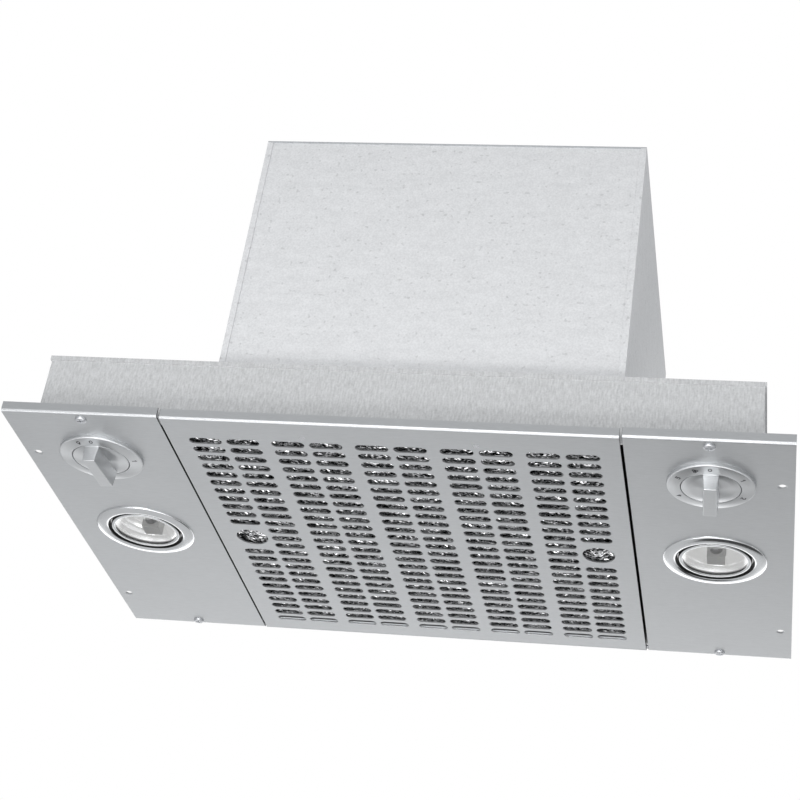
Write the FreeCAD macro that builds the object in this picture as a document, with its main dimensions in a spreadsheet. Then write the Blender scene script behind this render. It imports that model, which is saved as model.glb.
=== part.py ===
import FreeCAD, Part
import math
import os
import re

import Sketcher

# A range hood insert: a stainless face that screws up under a cabinet, a galvanised rim and
# blower housing above it, and a round duct collar on top.
# Frame: millimetres, +Z up, +X to the right and +Y to the rear as the cook stands in front.
# The origin is the centre of the four cabinet screw holes, in the upper face of the flange.

# Driving sizes. Each one is a cell of the sheet "sizes".
SIZES = {
    # Face: two side panels and a slotted grille between them.
    "face_width": 543.0,
    "face_depth": 343.0,
    "face_sheet": 1.0,
    "face_lip": 7.5,
    "bend_radius": 2.0,
    "grille_width": 314.4,
    "seam_gap": 1.8,
    "seam_return": 10.0,
    "grille_drop": 0.8,
    "grille_return": 8.0,
    # Cabinet screw holes in the side margins.
    "cabinet_hole_span": 526.0,
    "cabinet_hole_rows": 233.0,
    "cabinet_hole_setback": 57.8,
    "cabinet_hole": 4.8,
    "cabinet_hole_mouth": 6.8,
    "cabinet_mouth_depth": 0.4,
    # Slots and finger holes of the grille.
    "slot_long": 23.3,
    "slot_high": 8.0,
    "slot_pitch": 12.12,
    "slot_twin_pitch": 26.8,
    "slot_pair_pitch": 58.9,
    "slot_field_depth": 299.0,
    "slot_field_width": 286.2,
    "slot_field_shift": 3.0,
    "finger_rows": 3,
    "finger_hole": 24.0,
    # Rim, deck and blower housing.
    "rim_setback": 11.2,
    "rim_width": 499.0,
    "rim_height": 51.4,
    "rim_sheet": 1.0,
    "rim_skirt": 3.4,
    "deck_turndown": 8.0,
    "bay_wall_gap": 2.5,
    "ear_length": 24.0,
    "housing_width": 284.6,
    "housing_depth": 313.0,
    "housing_height": 250.5,
    "housing_shift": 13.2,
    "housing_setback": 15.1,
    "housing_sheet": 1.0,
    "housing_hem": 4.2,
    "top_turndown": 12.0,
    "sheet_fit": 0.1,
    # Controls and lamps stand on one line down each side panel.
    "column_x": 215.5,
    "knob_setback": 58.6,
    "lamp_setback": 174.0,
    "front_screw_setback": 8.0,
    "rear_screw_setback": 5.5,
    # Switches, dials and knobs.
    "bushing_radius": 4.75,
    "bushing_length": 2.4,
    "bushing_clearance": 0.15,
    "shaft_radius": 3.0,
    "shaft_clearance": 0.05,
    "shaft_flat": 2.3,
    "shaft_reach": 11.0,
    "nut_radius": 7.2,
    "nut_height": 2.0,
    "fan_switch_side": 36.0,
    "fan_switch_height": 24.0,
    "light_switch_side": 30.0,
    "light_switch_height": 19.0,
    "dial_radius": 30.0,
    "dial_edge": 2.8,
    "dial_height": 3.6,
    "dial_bore": 20.6,
    "knob_radius": 20.2,
    "knob_skin": 1.0,
    "knob_back_gap": 0.4,
    "knob_wall": 2.6,
    "grip_length": 38.0,
    "grip_height": 14.8,
    "grip_front_width": 8.8,
    "grip_rear_width": 9.2,
    "grip_flare": 2.1,
    "grip_edge": 0.7,
    # Lamps.
    "lamp_hole": 30.0,
    "trim_radius": 37.6,
    "trim_depth": 1.8,
    "sleeve_bore": 28.4,
    "sleeve_wall": 1.0,
    "sleeve_height": 9.0,
    "trim_tab": 3.0,
    "lens_ring_radius": 26.4,
    "lens_ring_bore": 23.4,
    "lens_ring_depth": 0.8,
    "lens_ring_height": 3.4,
    "lens_radius": 24.6,
    "lens_thickness": 2.0,
    "lens_floor": 0.8,
    "lens_fit": 0.1,
    "lug_angle": 14.0,
    "lug_height": 1.4,
    "reflector_depth": 22.0,
    "reflector_neck": 9.0,
    "reflector_sheet": 0.7,
    "bulb_radius": 5.0,
    "bulb_length": 22.0,
    "lamp_socket_side": 13.0,
    "lamp_socket_height": 20.0,
    # Fasteners.
    "screw_radius": 2.0,
    "screw_clearance": 0.1,
    "screw_head_radius": 4.1,
    "screw_head_height": 1.5,
    "screw_above_face": 9.0,
    "clip_nut_long": 13.0,
    "clip_nut_wide": 6.0,
    "clip_nut_sheet": 1.2,
    "hex_radius": 4.2,
    "hex_height": 2.6,
    # Grille hinge, catches and filter.
    "hinge_rod_radius": 1.6,
    "hinge_clearance": 0.06,
    "knuckle_radius": 3.0,
    "hinge_ear": 2.0,
    "blade_width": 10.0,
    "blade_height": 13.0,
    "blade_shift": 110.0,
    "blade_setback": 16.2,
    "catch_leaf": 0.6,
    "catch_gap": 0.35,
    "catch_width": 14.0,
    "filter_width": 300.0,
    "filter_depth": 299.5,
    "filter_thickness": 9.5,
    "filter_rail": 2.2,
    "filter_sheet": 0.6,
    "filter_front_gap": 11.6,
    "mesh_gap_rows": 12,
    "mesh_gap_columns": 13,
    "mesh_web": 2.4,
    "mesh_lift": 2.0,
    "clip_shift": 60.0,
    "clip_long": 17.0,
    "clip_wide": 8.0,
    "clip_sheet": 0.8,
    "clip_clearance": 0.2,
    "rivet_radius": 2.0,
    "rivet_head": 3.6,
    "seat_tab_setback": 24.0,
    "seat_tab_width": 6.0,
    # Blower: a double inlet wheel in a scroll, its motor in the right inlet.
    "wheel_radius": 75.0,
    "wheel_width": 112.0,
    "wheel_blades": 36,
    "blade_depth": 11.0,
    "blade_sheet": 0.8,
    "wheel_disc": 1.4,
    "wheel_hub_radius": 10.0,
    "wheel_hub_length": 26.0,
    "wheel_y": -42.0,
    "wheel_z": 152.0,
    "scroll_width": 130.0,
    "scroll_gap": 8.0,
    "scroll_growth": 16.0,
    "scroll_sheet": 0.8,
    "scroll_tongue_angle": 55.0,
    "inlet_radius": 62.0,
    "inlet_lip": 4.0,
    "motor_shaft_radius": 4.0,
    "motor_shaft_clearance": 0.04,
    "motor_gap": 6.0,
    "motor_radius": 42.0,
    "motor_bell": 20.0,
    "motor_wall": 2.0,
    "stator_length": 24.0,
    "rotor_radius": 22.2,
    "rotor_gap": 0.6,
    "bearing_radius": 8.0,
    "bearing_length": 9.0,
    "motor_bolt_radius": 1.8,
    "motor_bolt_circle": 33.0,
    "bracket_sheet": 1.5,
    "bracket_width": 16.0,
    "bracket_reach": 74.0,
    "bracket_foot": 10.0,
    # Duct collar and backdraft damper.
    "collar_radius": 88.5,
    "collar_wall": 0.8,
    "collar_height": 34.0,
    "collar_flange": 12.0,
    "collar_flange_sheet": 1.0,
    "damper_rod_radius": 2.0,
    "damper_rod_height": 3.8,
    "damper_sheet": 0.8,
    "damper_gap": 0.3,
    "damper_knuckle": 3.0,
    "damper_knuckle_long": 30.0,
    "damper_edge_gap": 0.7,
    # Wiring compartment in the left bay.
    "wiring_long": 66.0,
    "wiring_wide": 70.0,
    "wiring_floor": 10.0,
    "wiring_sheet": 1.0,
    "cable_hole": 11.1,
    "cable_bore": 7.0,
    "bushing_flange": 14.0,
    "bushing_lip": 2.0,
}

# Places and sizes that follow from the driving ones. Each one is a cell of the sheet "places".
PLACES = {
    "front_y": "-(cabinet_hole_setback + cabinet_hole_rows / 2)",
    "rear_y": "front_y + face_depth",
    "half_face": "face_width / 2",
    "under_z": "-face_sheet",
    "grille_under_z": "under_z - grille_drop",
    "grille_top_z": "grille_under_z + face_sheet",
    "half_grille": "grille_width / 2",
    "panel_edge_x": "half_grille + seam_gap",
    "half_rim": "rim_width / 2",
    "rim_front_y": "front_y + rim_setback",
    "rim_rear_y": "rear_y - rim_setback",
    "deck_z": "rim_height - rim_sheet",
    "bay_wall_x": "panel_edge_x + bay_wall_gap",
    "housing_left_x": "housing_shift - housing_width / 2",
    "housing_right_x": "housing_shift + housing_width / 2",
    "housing_front_y": "front_y + housing_setback",
    "housing_rear_y": "housing_front_y + housing_depth",
    "housing_foot_z": "deck_z - deck_turndown",
    "housing_roof_z": "housing_height - housing_sheet",
    "knob_y": "front_y + knob_setback",
    "lamp_y": "front_y + lamp_setback",
    "front_screw_y": "front_y + front_screw_setback",
    "rear_screw_y": "rear_y - rear_screw_setback",
    "hinge_y": "rear_y - knuckle_radius",
    "hinge_z": "grille_under_z + knuckle_radius",
    "inner_front_y": "rim_front_y + rim_sheet",
    "inner_rear_y": "rim_rear_y - rim_sheet",
    "blade_y": "front_y + blade_setback",
    "slot_centre_y": "(front_y + rear_y) / 2 + slot_field_shift",
    "slot_rows": "floor((slot_field_depth - slot_high) / slot_pitch + 0.001) + 1",
    "slot_pairs": "floor((slot_field_width - slot_twin_pitch - slot_long) / slot_pair_pitch + 0.001) + 1",
    "outer_rows": "floor((slot_rows - finger_rows) / 2)",
    "first_row_y": "slot_centre_y - (slot_rows - 1) * slot_pitch / 2",
    "rear_rows_y": "first_row_y + (slot_rows - outer_rows) * slot_pitch",
    "outer_column_x": "((slot_pairs - 1) * slot_pair_pitch + slot_twin_pitch) / 2",
    "filter_front_y": "inner_front_y + filter_front_gap",
    "filter_rear_y": "filter_front_y + filter_depth",
    "filter_top_z": "grille_top_z + filter_thickness",
    "rivet_y": "filter_front_y - rivet_head - 0.4",
    "clip_z": "filter_top_z + clip_clearance",
    "scroll_left_x": "housing_shift - scroll_width / 2",
    "scroll_right_x": "housing_shift + scroll_width / 2",
    "motor_left_x": "scroll_right_x + scroll_sheet + motor_gap",
    "motor_right_x": "motor_left_x + 2 * motor_bell + stator_length",
    "scroll_first_radius": "wheel_radius + scroll_gap + scroll_growth / 2",
    "throat_front_y": "wheel_y - scroll_growth / 2 + scroll_first_radius * cos(scroll_tongue_angle * 1 deg)",
    "throat_rear_y": "wheel_y + scroll_growth / 2 + scroll_first_radius + 2 * scroll_growth",
    "collar_y": "(throat_front_y + throat_rear_y) / 2",
    "collar_bore": "collar_radius - collar_wall",
    "damper_axis_z": "housing_height + damper_rod_height",
    "collar_screw_circle": "collar_radius + collar_flange / 2",
    "wiring_x": "-(half_rim - rim_sheet) + 8",
    "wiring_y": "inner_rear_y - wiring_long - 4",
    "cable_x": "wiring_x + wiring_wide / 2",
    "cable_y": "wiring_y + wiring_long / 2",
}

doc = FreeCAD.newDocument("range_hood_insert")


def fill_sheet(name, cells):
    """A sheet with one named cell for each entry, the name beside it."""
    sheet = doc.addObject("Spreadsheet::Sheet", name)
    for row, (alias, content) in enumerate(cells.items(), start=1):
        sheet.set(f"A{row}", alias)
        sheet.set(f"B{row}", content)
        sheet.setAlias(f"B{row}", alias)
    return sheet


def bound(formula):
    """The formula with every size and place written as a cell of its sheet."""
    def cell(match):
        word = match.group(0)
        if word in SIZES:
            return f"sizes.{word}"
        if word in PLACES:
            return f"places.{word}"
        return word

    return re.sub(r"[a-z][a-z_0-9]*", cell, str(formula))


size_sheet = fill_sheet("sizes", {alias: str(number) for alias, number in SIZES.items()})
place_sheet = fill_sheet("places", {})
for row, (alias, formula) in enumerate(PLACES.items(), start=1):
    place_sheet.set(f"A{row}", alias)
    place_sheet.set(f"B{row}", "=" + bound(formula).replace("places.", ""))
    place_sheet.setAlias(f"B{row}", alias)
doc.recompute()


def value(name):
    """The number in a named cell of either sheet."""
    sheet = size_sheet if name in SIZES else place_sheet
    return float(sheet.get(name))


# ---------------------------------------------------------------- building blocks

FACING = {
    "up": FreeCAD.Rotation(),
    "down": FreeCAD.Rotation(FreeCAD.Vector(1, 0, 0), 180),
    "right": FreeCAD.Rotation(FreeCAD.Vector(0, 1, 0), 90),
    "rear": FreeCAD.Rotation(FreeCAD.Vector(1, 0, 0), -90),
}


def put(piece, corner, facing="up"):
    """Turns a piece to face a way and ties its place to three formulas."""
    piece.Placement = FreeCAD.Placement(FreeCAD.Vector(), FACING[facing])
    for axis, formula in zip("xyz", corner):
        piece.setExpression(f"Placement.Base.{axis}", bound(formula))
    return piece


def box(name, corner, sides):
    """A block from its lowest corner and its three sides."""
    piece = doc.addObject("Part::Box", name)
    for side, formula in zip(("Length", "Width", "Height"), sides):
        piece.setExpression(side, bound(formula))
    return put(piece, corner)


def slab(name, x_span, y_span, z_span):
    """A block between two formulas along each axis."""
    spans = (x_span, y_span, z_span)
    return box(name, [low for low, _ in spans], [f"({high}) - ({low})" for low, high in spans])


def rod(name, foot, radius, length, facing="up"):
    """A round bar from the centre of its foot."""
    piece = doc.addObject("Part::Cylinder", name)
    piece.setExpression("Radius", bound(radius))
    piece.setExpression("Height", bound(length))
    return put(piece, foot, facing)


def cone(name, foot, foot_radius, head_radius, length, facing="up"):
    """A round bar whose radius changes evenly from foot to head."""
    piece = doc.addObject("Part::Cone", name)
    piece.setExpression("Radius1", bound(foot_radius))
    piece.setExpression("Radius2", bound(head_radius))
    piece.setExpression("Height", bound(length))
    return put(piece, foot, facing)


def hexagon(name, foot, radius, height, facing="up"):
    """A six-sided prism from the centre of its foot."""
    piece = doc.addObject("Part::Prism", name)
    piece.Polygon = 6
    piece.setExpression("Circumradius", bound(radius))
    piece.setExpression("Height", bound(height))
    return put(piece, foot, facing)


def fuse(name, pieces):
    """Pieces that are one part of metal or plastic."""
    if len(pieces) == 1:
        return pieces[0]
    whole = doc.addObject("Part::MultiFuse", name)
    whole.Shapes = pieces
    whole.Refine = True
    return whole


def cut(name, base, tools):
    """The base with the tools taken out of it."""
    rest = doc.addObject("Part::Cut", name)
    rest.Base = base
    rest.Tool = fuse(f"{name}_tools", tools)
    rest.Refine = True
    return rest


def group(name, pieces):
    """Identical loose pieces kept in one node."""
    heap = doc.addObject("Part::Compound", name)
    heap.Links = pieces
    return heap


def shaped(name, shape):
    """A piece whose outline follows a formula that no plain block has."""
    piece = doc.addObject("Part::Feature", name)
    piece.Shape = shape
    return piece


def round_edges(name, base, radius, wanted):
    """The base with every edge rounded that the test picks."""
    doc.recompute([base])
    picked = [number for number, edge in enumerate(base.Shape.Edges, start=1) if wanted(edge)]
    if not picked:
        raise ValueError(f"no edge to round on {name}")
    rounded = doc.addObject("Part::Fillet", name)
    rounded.Base = base
    rounded.Edges = [(number, radius, radius) for number in picked]
    return rounded


def runs_along_x(y, z):
    """A test for the edges that run along X at one place."""
    def wanted(edge):
        ends = [vertex.Point for vertex in edge.Vertexes]
        return len(ends) == 2 and all(abs(p.y - y) < 1e-4 and abs(p.z - z) < 1e-4 for p in ends)

    return wanted


def origin_plane(body, role):
    """One of a body's own three origin planes."""
    return next(item for item in body.Origin.OriginFeatures if item.Role == role)


def flat_sketch(body, name, role, lift=None):
    """An empty sketch on one of a body's planes, lifted off it by a formula."""
    sketch = body.newObject("Sketcher::SketchObject", name)
    sketch.AttachmentSupport = [(origin_plane(body, role), "")]
    sketch.MapMode = "FlatFace"
    if lift is not None:
        sketch.setExpression("AttachmentOffset.Base.z", bound(lift))
    return sketch


def fix(sketch, kind, geometry, point, formula):
    """Ties a sketch point's distance from the origin to a formula, or lays it on the axis."""
    if str(formula) == "0":
        axis = -2 if kind == "DistanceX" else -1
        sketch.addConstraint(Sketcher.Constraint("PointOnObject", geometry, point, axis))
        return
    number = sketch.addConstraint(Sketcher.Constraint(kind, -1, 1, geometry, point, 1.0))
    sketch.setExpression(f"Constraints[{number}]", bound(formula))


def outline(sketch, corners, guess):
    """A closed outline whose corners are pairs of formulas; guess gives their rough places."""
    count = len(corners)
    for index in range(count):
        start = FreeCAD.Vector(*guess[index], 0)
        end = FreeCAD.Vector(*guess[(index + 1) % count], 0)
        sketch.addGeometry(Part.LineSegment(start, end), False)
    for index in range(count):
        sketch.addConstraint(Sketcher.Constraint("Coincident", index, 2, (index + 1) % count, 1))
    for index, (across, along) in enumerate(corners):
        fix(sketch, "DistanceX", index, 1, across)
        fix(sketch, "DistanceY", index, 1, along)
    return sketch


def solved(formula):
    """The number that a formula of sizes and places comes to now."""
    return float(place_sheet.evalExpression(bound(formula).replace("places.", "")))


def rough(corners):
    """The corners' present places, so that the sketch opens near its answer."""
    return [(solved(across), solved(along)) for across, along in corners]


def lathe(name, corners, centre, facing="up"):
    """A turned body: its corners are radius and height, and it turns about its own axis."""
    body = doc.addObject("PartDesign::Body", name)
    sketch = outline(flat_sketch(body, f"{name}_outline", "XZ_Plane"), corners, rough(corners))
    turned = body.newObject("PartDesign::Revolution", f"{name}_turned")
    turned.Profile = sketch
    turned.ReferenceAxis = (sketch, ["V_Axis"])
    turned.Angle = 360
    sketch.Visibility = False
    return put(body, centre, facing)


def ring(name, foot, outer, bore, length, facing="up"):
    """A plain tube from the centre of its foot."""
    corners = [(bore, "0"), (outer, "0"), (outer, length), (bore, length)]
    return lathe(name, corners, foot, facing)


def spot(x, y, z=0.0):
    """A point."""
    return FreeCAD.Vector(x, y, z)


# ---------------------------------------------------------------- the face

def side_sign(side):
    """Minus one for the left side, one for the right."""
    return -1 if side == "left" else 1


def span(side, near, far):
    """An X span at a distance from the middle plane, on one side of it."""
    return (f"-({far})", f"-({near})") if side == "left" else (near, far)


def face_panel(side):
    """A side panel: a stainless tray with front and rear lips and a return along the seam."""
    name = f"{side}_face_panel"
    sign = side_sign(side)
    reach = span(side, "panel_edge_x", "half_face")
    seam = span(side, "panel_edge_x", "panel_edge_x + face_sheet")
    ear = span(side, "panel_edge_x", "panel_edge_x + hinge_ear")
    tab = span(side, "panel_edge_x - seam_gap - face_sheet - 1", "panel_edge_x + face_sheet")
    top = "under_z + face_lip"
    fold = "under_z + seam_return"
    tab_foot = "grille_under_z + grille_return + 0.3"
    tray = fuse(f"{name}_tray", [
        slab(f"{name}_plate", reach, ("front_y", "rear_y"), ("under_z", "0")),
        slab(f"{name}_front_lip", reach, ("front_y", "front_y + face_sheet"), ("under_z", top)),
        slab(f"{name}_rear_lip", reach, ("rear_y - face_sheet", "rear_y"), ("under_z", top)),
        slab(f"{name}_seam_fold", seam,
             ("inner_front_y + 2", "inner_rear_y - 5"), ("under_z", fold)),
        slab(f"{name}_hinge_ear", ear, ("rim_rear_y + 0.5", "rear_y"), ("under_z", top)),
        slab(f"{name}_seat_tab", tab,
             ("rear_y - seat_tab_setback - seat_tab_width / 2",
              "rear_y - seat_tab_setback + seat_tab_width / 2"),
             (tab_foot, f"{tab_foot} + 0.8")),
    ])
    x = f"{sign} * column_x"
    hole_x = f"{sign} * cabinet_hole_span / 2"
    through = "face_sheet + 2"
    tools = [
        rod(f"{name}_lamp_hole", (x, "lamp_y", "under_z - 1"), "lamp_hole", through),
        rod(f"{name}_switch_hole", (x, "knob_y", "under_z - 1"),
            "bushing_radius + bushing_clearance", through),
        rod(f"{name}_rod_hole", (f"{sign} * panel_edge_x - 5", "hinge_y", "hinge_z"),
            "hinge_rod_radius + hinge_clearance", "10", "right"),
    ]
    for end, y in (("front", "front_screw_y"), ("rear", "rear_screw_y")):
        tools.append(rod(f"{name}_{end}_screw_hole", (x, y, "under_z - 1"),
                         "screw_radius + screw_clearance", through))
    for end, y in (("front", "-cabinet_hole_rows / 2"), ("rear", "cabinet_hole_rows / 2")):
        tools.append(rod(f"{name}_{end}_hole", (hole_x, y, "under_z - 1"), "cabinet_hole / 2", through))
        tools.append(cone(f"{name}_{end}_mouth", (hole_x, y, "under_z"), "cabinet_hole_mouth / 2",
                          "cabinet_hole / 2", "cabinet_mouth_depth"))
    pierced = cut(f"{name}_pierced", tray, tools)
    front = runs_along_x(value("front_y"), value("under_z"))
    rear = runs_along_x(value("rear_y"), value("under_z"))
    bend = min(value("bend_radius"), 0.9 * value("face_lip"))
    return round_edges(name, pierced, bend, lambda edge: front(edge) or rear(edge))


def slot_in(sketch, centre_x, centre_y):
    """One round-ended slot along X: its two end circles are tied to the sheet, its ends lie upright."""
    x, y = solved(centre_x), solved(centre_y)
    radius = value("slot_high") / 2
    half = value("slot_long") / 2 - radius
    axis = spot(0, 0, 1)
    first = sketch.GeometryCount
    sketch.addGeometry([
        Part.ArcOfCircle(Part.Circle(spot(x - half, y), axis, radius), math.pi / 2, 3 * math.pi / 2),
        Part.LineSegment(spot(x - half, y - radius), spot(x + half, y - radius)),
        Part.ArcOfCircle(Part.Circle(spot(x + half, y), axis, radius), -math.pi / 2, math.pi / 2),
        Part.LineSegment(spot(x + half, y + radius), spot(x - half, y + radius)),
    ], False)
    joined = [Sketcher.Constraint("Coincident", first + index, 2, first + (index + 1) % 4, 1)
              for index in range(4)]
    upright = [Sketcher.Constraint("Vertical", first + arc, 3, first + arc, 1) for arc in (0, 2)]
    upright += [Sketcher.Constraint("Vertical", first + arc, 3, first + arc, 2) for arc in (0, 2)]
    reach = "(slot_long - slot_high) / 2"
    tied = [("Radius", first, None, "slot_high / 2", radius),
            ("Radius", first + 2, None, "slot_high / 2", radius),
            ("DistanceX", first, 3, f"{centre_x} - {reach}", x - half),
            ("DistanceX", first + 2, 3, f"{centre_x} + {reach}", x + half),
            ("DistanceY", first, 3, centre_y, y), ("DistanceY", first + 2, 3, centre_y, y)]
    sizes = [Sketcher.Constraint(kind, item, now) if point is None
             else Sketcher.Constraint(kind, -1, 1, item, point, now)
             for kind, item, point, _, now in tied]
    numbers = sketch.addConstraint(joined + upright + sizes)
    for number, (_, _, _, formula, _) in zip(numbers[-len(tied):], tied):
        sketch.setExpression(f"Constraints[{number}]", bound(formula))


def slot_rows(body, name, columns, first_y, rows):
    """Pockets one row of slots and repeats it toward the rear."""
    sketch = flat_sketch(body, f"{name}_row", "XY_Plane")
    for column in columns:
        slot_in(sketch, column, first_y)
    pocket = body.newObject("PartDesign::Pocket", f"{name}_pocket")
    pocket.Profile = sketch
    pocket.Type = "ThroughAll"
    pocket.Reversed = True
    pattern = body.newObject("PartDesign::LinearPattern", f"{name}_rows")
    pattern.Originals = [pocket]
    pattern.Direction = (sketch, ["V_Axis"])
    pattern.setExpression("Length", bound(f"({rows} - 1) * slot_pitch"))
    pattern.setExpression("Occurrences", bound(rows))
    body.Tip = pattern
    sketch.Visibility = False


def round_holes(body, name, holes):
    """Pockets round holes: each has a centre and a radius."""
    sketch = flat_sketch(body, f"{name}_circles", "XY_Plane")
    for index, (x, y, radius) in enumerate(holes):
        centre = spot(solved(x), solved(y))
        sketch.addGeometry(Part.Circle(centre, spot(0, 0, 1), solved(radius)), False)
        number = sketch.addConstraint(Sketcher.Constraint("Radius", index, solved(radius)))
        sketch.setExpression(f"Constraints[{number}]", bound(radius))
        fix(sketch, "DistanceX", index, 3, x)
        fix(sketch, "DistanceY", index, 3, y)
    pocket = body.newObject("PartDesign::Pocket", f"{name}_pocket")
    pocket.Profile = sketch
    pocket.Type = "ThroughAll"
    pocket.Reversed = True
    body.Tip = pocket
    sketch.Visibility = False


def grille_plate():
    """The slotted sheet of the grille with its finger and rivet holes."""
    body = doc.addObject("PartDesign::Body", "grille_plate")
    front, rear = "front_y + 2 * bend_radius", "hinge_y - hinge_rod_radius / 2"
    corners = [("-half_grille", front), ("half_grille", front),
               ("half_grille", rear), ("-half_grille", rear)]
    sketch = outline(flat_sketch(body, "grille_edge", "XY_Plane"), corners, rough(corners))
    pad = body.newObject("PartDesign::Pad", "grille_sheet")
    pad.Profile = sketch
    pad.setExpression("Length", bound("face_sheet"))
    sketch.Visibility = False
    columns = []
    for pair in range(int(value("slot_pairs"))):
        middle = f"({pair} - (slot_pairs - 1) / 2) * slot_pair_pitch"
        columns += [f"{middle} - slot_twin_pitch / 2", f"{middle} + slot_twin_pitch / 2"]
    round_holes(body, "grille_round_holes", [
        (f"{sign} * {x}", y, radius) for sign in (-1, 1)
        for x, y, radius in (("outer_column_x", "slot_centre_y", "finger_hole / 2"),
                             ("clip_shift", "rivet_y", "rivet_radius"))])
    outer = [columns[0], columns[-1]]
    slot_rows(body, "front_slots", outer, "first_row_y", "outer_rows")
    slot_rows(body, "rear_slots", outer, "rear_rows_y", "outer_rows")
    slot_rows(body, "inner_slots", columns[1:-1], "first_row_y", "slot_rows")
    return put(body, ("0", "0", "grille_under_z"))


def rounded_lip(name, x_span, under, wanted_top):
    """A front edge of sheet turned up, its lower corner rounded, with a strip of the face behind it."""
    edge = fuse(f"{name}_square", [
        slab(f"{name}_wall", x_span, ("front_y", "front_y + face_sheet"), (under, wanted_top)),
        slab(f"{name}_strip", x_span, ("front_y", "front_y + 2 * bend_radius"),
             (under, f"{under} + face_sheet")),
    ])
    bend = min(value("bend_radius"), 0.9 * value("face_lip"))
    return round_edges(name, edge, bend, runs_along_x(value("front_y"), solved(under)))


def grille_curl():
    """The rear edge of the grille, rolled round the hinge rod."""
    roll = rod("grille_roll", ("-half_grille", "hinge_y", "hinge_z"), "knuckle_radius",
               "grille_width", "right")
    bore = rod("grille_rod_bore", ("-half_grille - 1", "hinge_y", "hinge_z"),
               "hinge_rod_radius + hinge_clearance", "grille_width + 2", "right")
    return cut("grille_curl", roll, [bore])


def grille_panel():
    """The grille: slotted sheet, front lip, side returns, hinge curl, blades and filter hooks."""
    folds = [grille_plate(), grille_curl(),
             rounded_lip("grille_lip", ("-half_grille", "half_grille"), "grille_under_z",
                         "grille_under_z + face_lip")]
    for side in ("left", "right"):
        sign = side_sign(side)
        edge = span(side, "half_grille - face_sheet", "half_grille")
        folds.append(slab(f"grille_{side}_return", edge, ("inner_front_y + 4", "inner_rear_y - 5"),
                          ("grille_under_z", "grille_under_z + grille_return")))
        blade = f"{sign} * blade_shift"
        blade_span = (f"{blade} - blade_width / 2", f"{blade} + blade_width / 2")
        folds.append(slab(f"grille_{side}_blade", blade_span,
                          ("blade_y - face_sheet / 2", "blade_y + face_sheet / 2"),
                          ("grille_under_z", "grille_top_z + blade_height")))
        hook = f"{sign} * clip_shift"
        hook_span = (f"{hook} - clip_wide / 2", f"{hook} + clip_wide / 2")
        hook_y = "filter_rear_y + 0.4"
        folds.append(slab(f"grille_{side}_hook_post", hook_span, (hook_y, f"{hook_y} + face_sheet"),
                          ("grille_under_z", "clip_z + clip_sheet")))
        folds.append(slab(f"grille_{side}_hook_tongue", hook_span,
                          ("filter_rear_y - filter_rail", f"{hook_y} + face_sheet"),
                          ("clip_z", "clip_z + clip_sheet")))
    return fuse("grille_panel", folds)


def hinge_rod():
    """The rod through the grille's rear curl and the side panels' ears."""
    return rod("hinge_rod", ("-(panel_edge_x + hinge_ear + 0.5)", "hinge_y", "hinge_z"),
               "hinge_rod_radius", "2 * (panel_edge_x + hinge_ear + 0.5)", "right")


def grille_catch(side):
    """A spring clip on the rim's front wall that grips a blade of the grille."""
    name = f"grille_catch_{side}"
    middle = f"{side_sign(side)} * blade_shift"
    width = (f"{middle} - catch_width / 2", f"{middle} + catch_width / 2")
    half = "face_sheet / 2 + catch_gap"
    low = "grille_top_z + 4"
    roof = "grille_top_z + blade_height + 1"
    front = f"blade_y - ({half}) - catch_leaf"
    rear = f"blade_y + ({half}) + catch_leaf"
    return fuse(name, [
        slab(f"{name}_front_leaf", width, (front, f"{front} + catch_leaf"), (low, f"{roof} + catch_leaf")),
        slab(f"{name}_rear_leaf", width, (f"{rear} - catch_leaf", rear), (low, f"{roof} + catch_leaf")),
        slab(f"{name}_bridge", width, ("inner_front_y", rear), (roof, f"{roof} + catch_leaf")),
        slab(f"{name}_back", width, ("inner_front_y", "inner_front_y + catch_leaf"),
             (roof, f"{roof} + 12")),
    ])


# ---------------------------------------------------------------- rim and housing

def rim_frame():
    """The galvanised rim: four hemmed walls, two bay walls and four ears for the face screws."""
    across = ("-half_rim", "half_rim")
    deep = ("rim_front_y", "rim_rear_y")
    high = ("0", "rim_height")
    hem_block = slab("rim_hem_block", ("-half_rim - rim_sheet", "half_rim + rim_sheet"),
                     ("rim_front_y - rim_sheet", "rim_rear_y + rim_sheet"),
                     ("rim_height - rim_skirt", "rim_height"))
    hem_hollow = slab("rim_hem_hollow", across, deep, ("rim_height - rim_skirt - 1", "rim_height + 1"))
    walls = [
        cut("rim_hem", hem_block, [hem_hollow]),
        slab("rim_front", across, ("rim_front_y", "inner_front_y"), high),
        slab("rim_rear", across, ("inner_rear_y", "rim_rear_y"), high),
        slab("rim_left", ("-half_rim", "-half_rim + rim_sheet"), deep, high),
        slab("rim_right", ("half_rim - rim_sheet", "half_rim"), deep, high),
    ]
    tools = []
    for side in ("left", "right"):
        sign = side_sign(side)
        bay = span(side, "bay_wall_x", "bay_wall_x + rim_sheet")
        walls.append(slab(f"rim_{side}_bay_wall", bay, deep, ("0", "deck_z")))
        x = f"{sign} * column_x"
        ear = (f"{x} - ear_length / 2", f"{x} + ear_length / 2")
        walls.append(slab(f"rim_{side}_front_ear", ear,
                          ("front_y + face_sheet + 0.5", "rim_front_y"), ("0", "rim_sheet")))
        walls.append(slab(f"rim_{side}_rear_ear", ear,
                          ("rim_rear_y", "rear_y - face_sheet - 0.5"), ("0", "rim_sheet")))
        for end, y in (("front", "front_screw_y"), ("rear", "rear_screw_y")):
            tools.append(rod(f"rim_{side}_{end}_screw_hole", (x, y, "-1"),
                             "screw_radius + screw_clearance", "rim_sheet + 2"))
    return cut("rim_frame", fuse("rim_walls", walls), tools)


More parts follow.
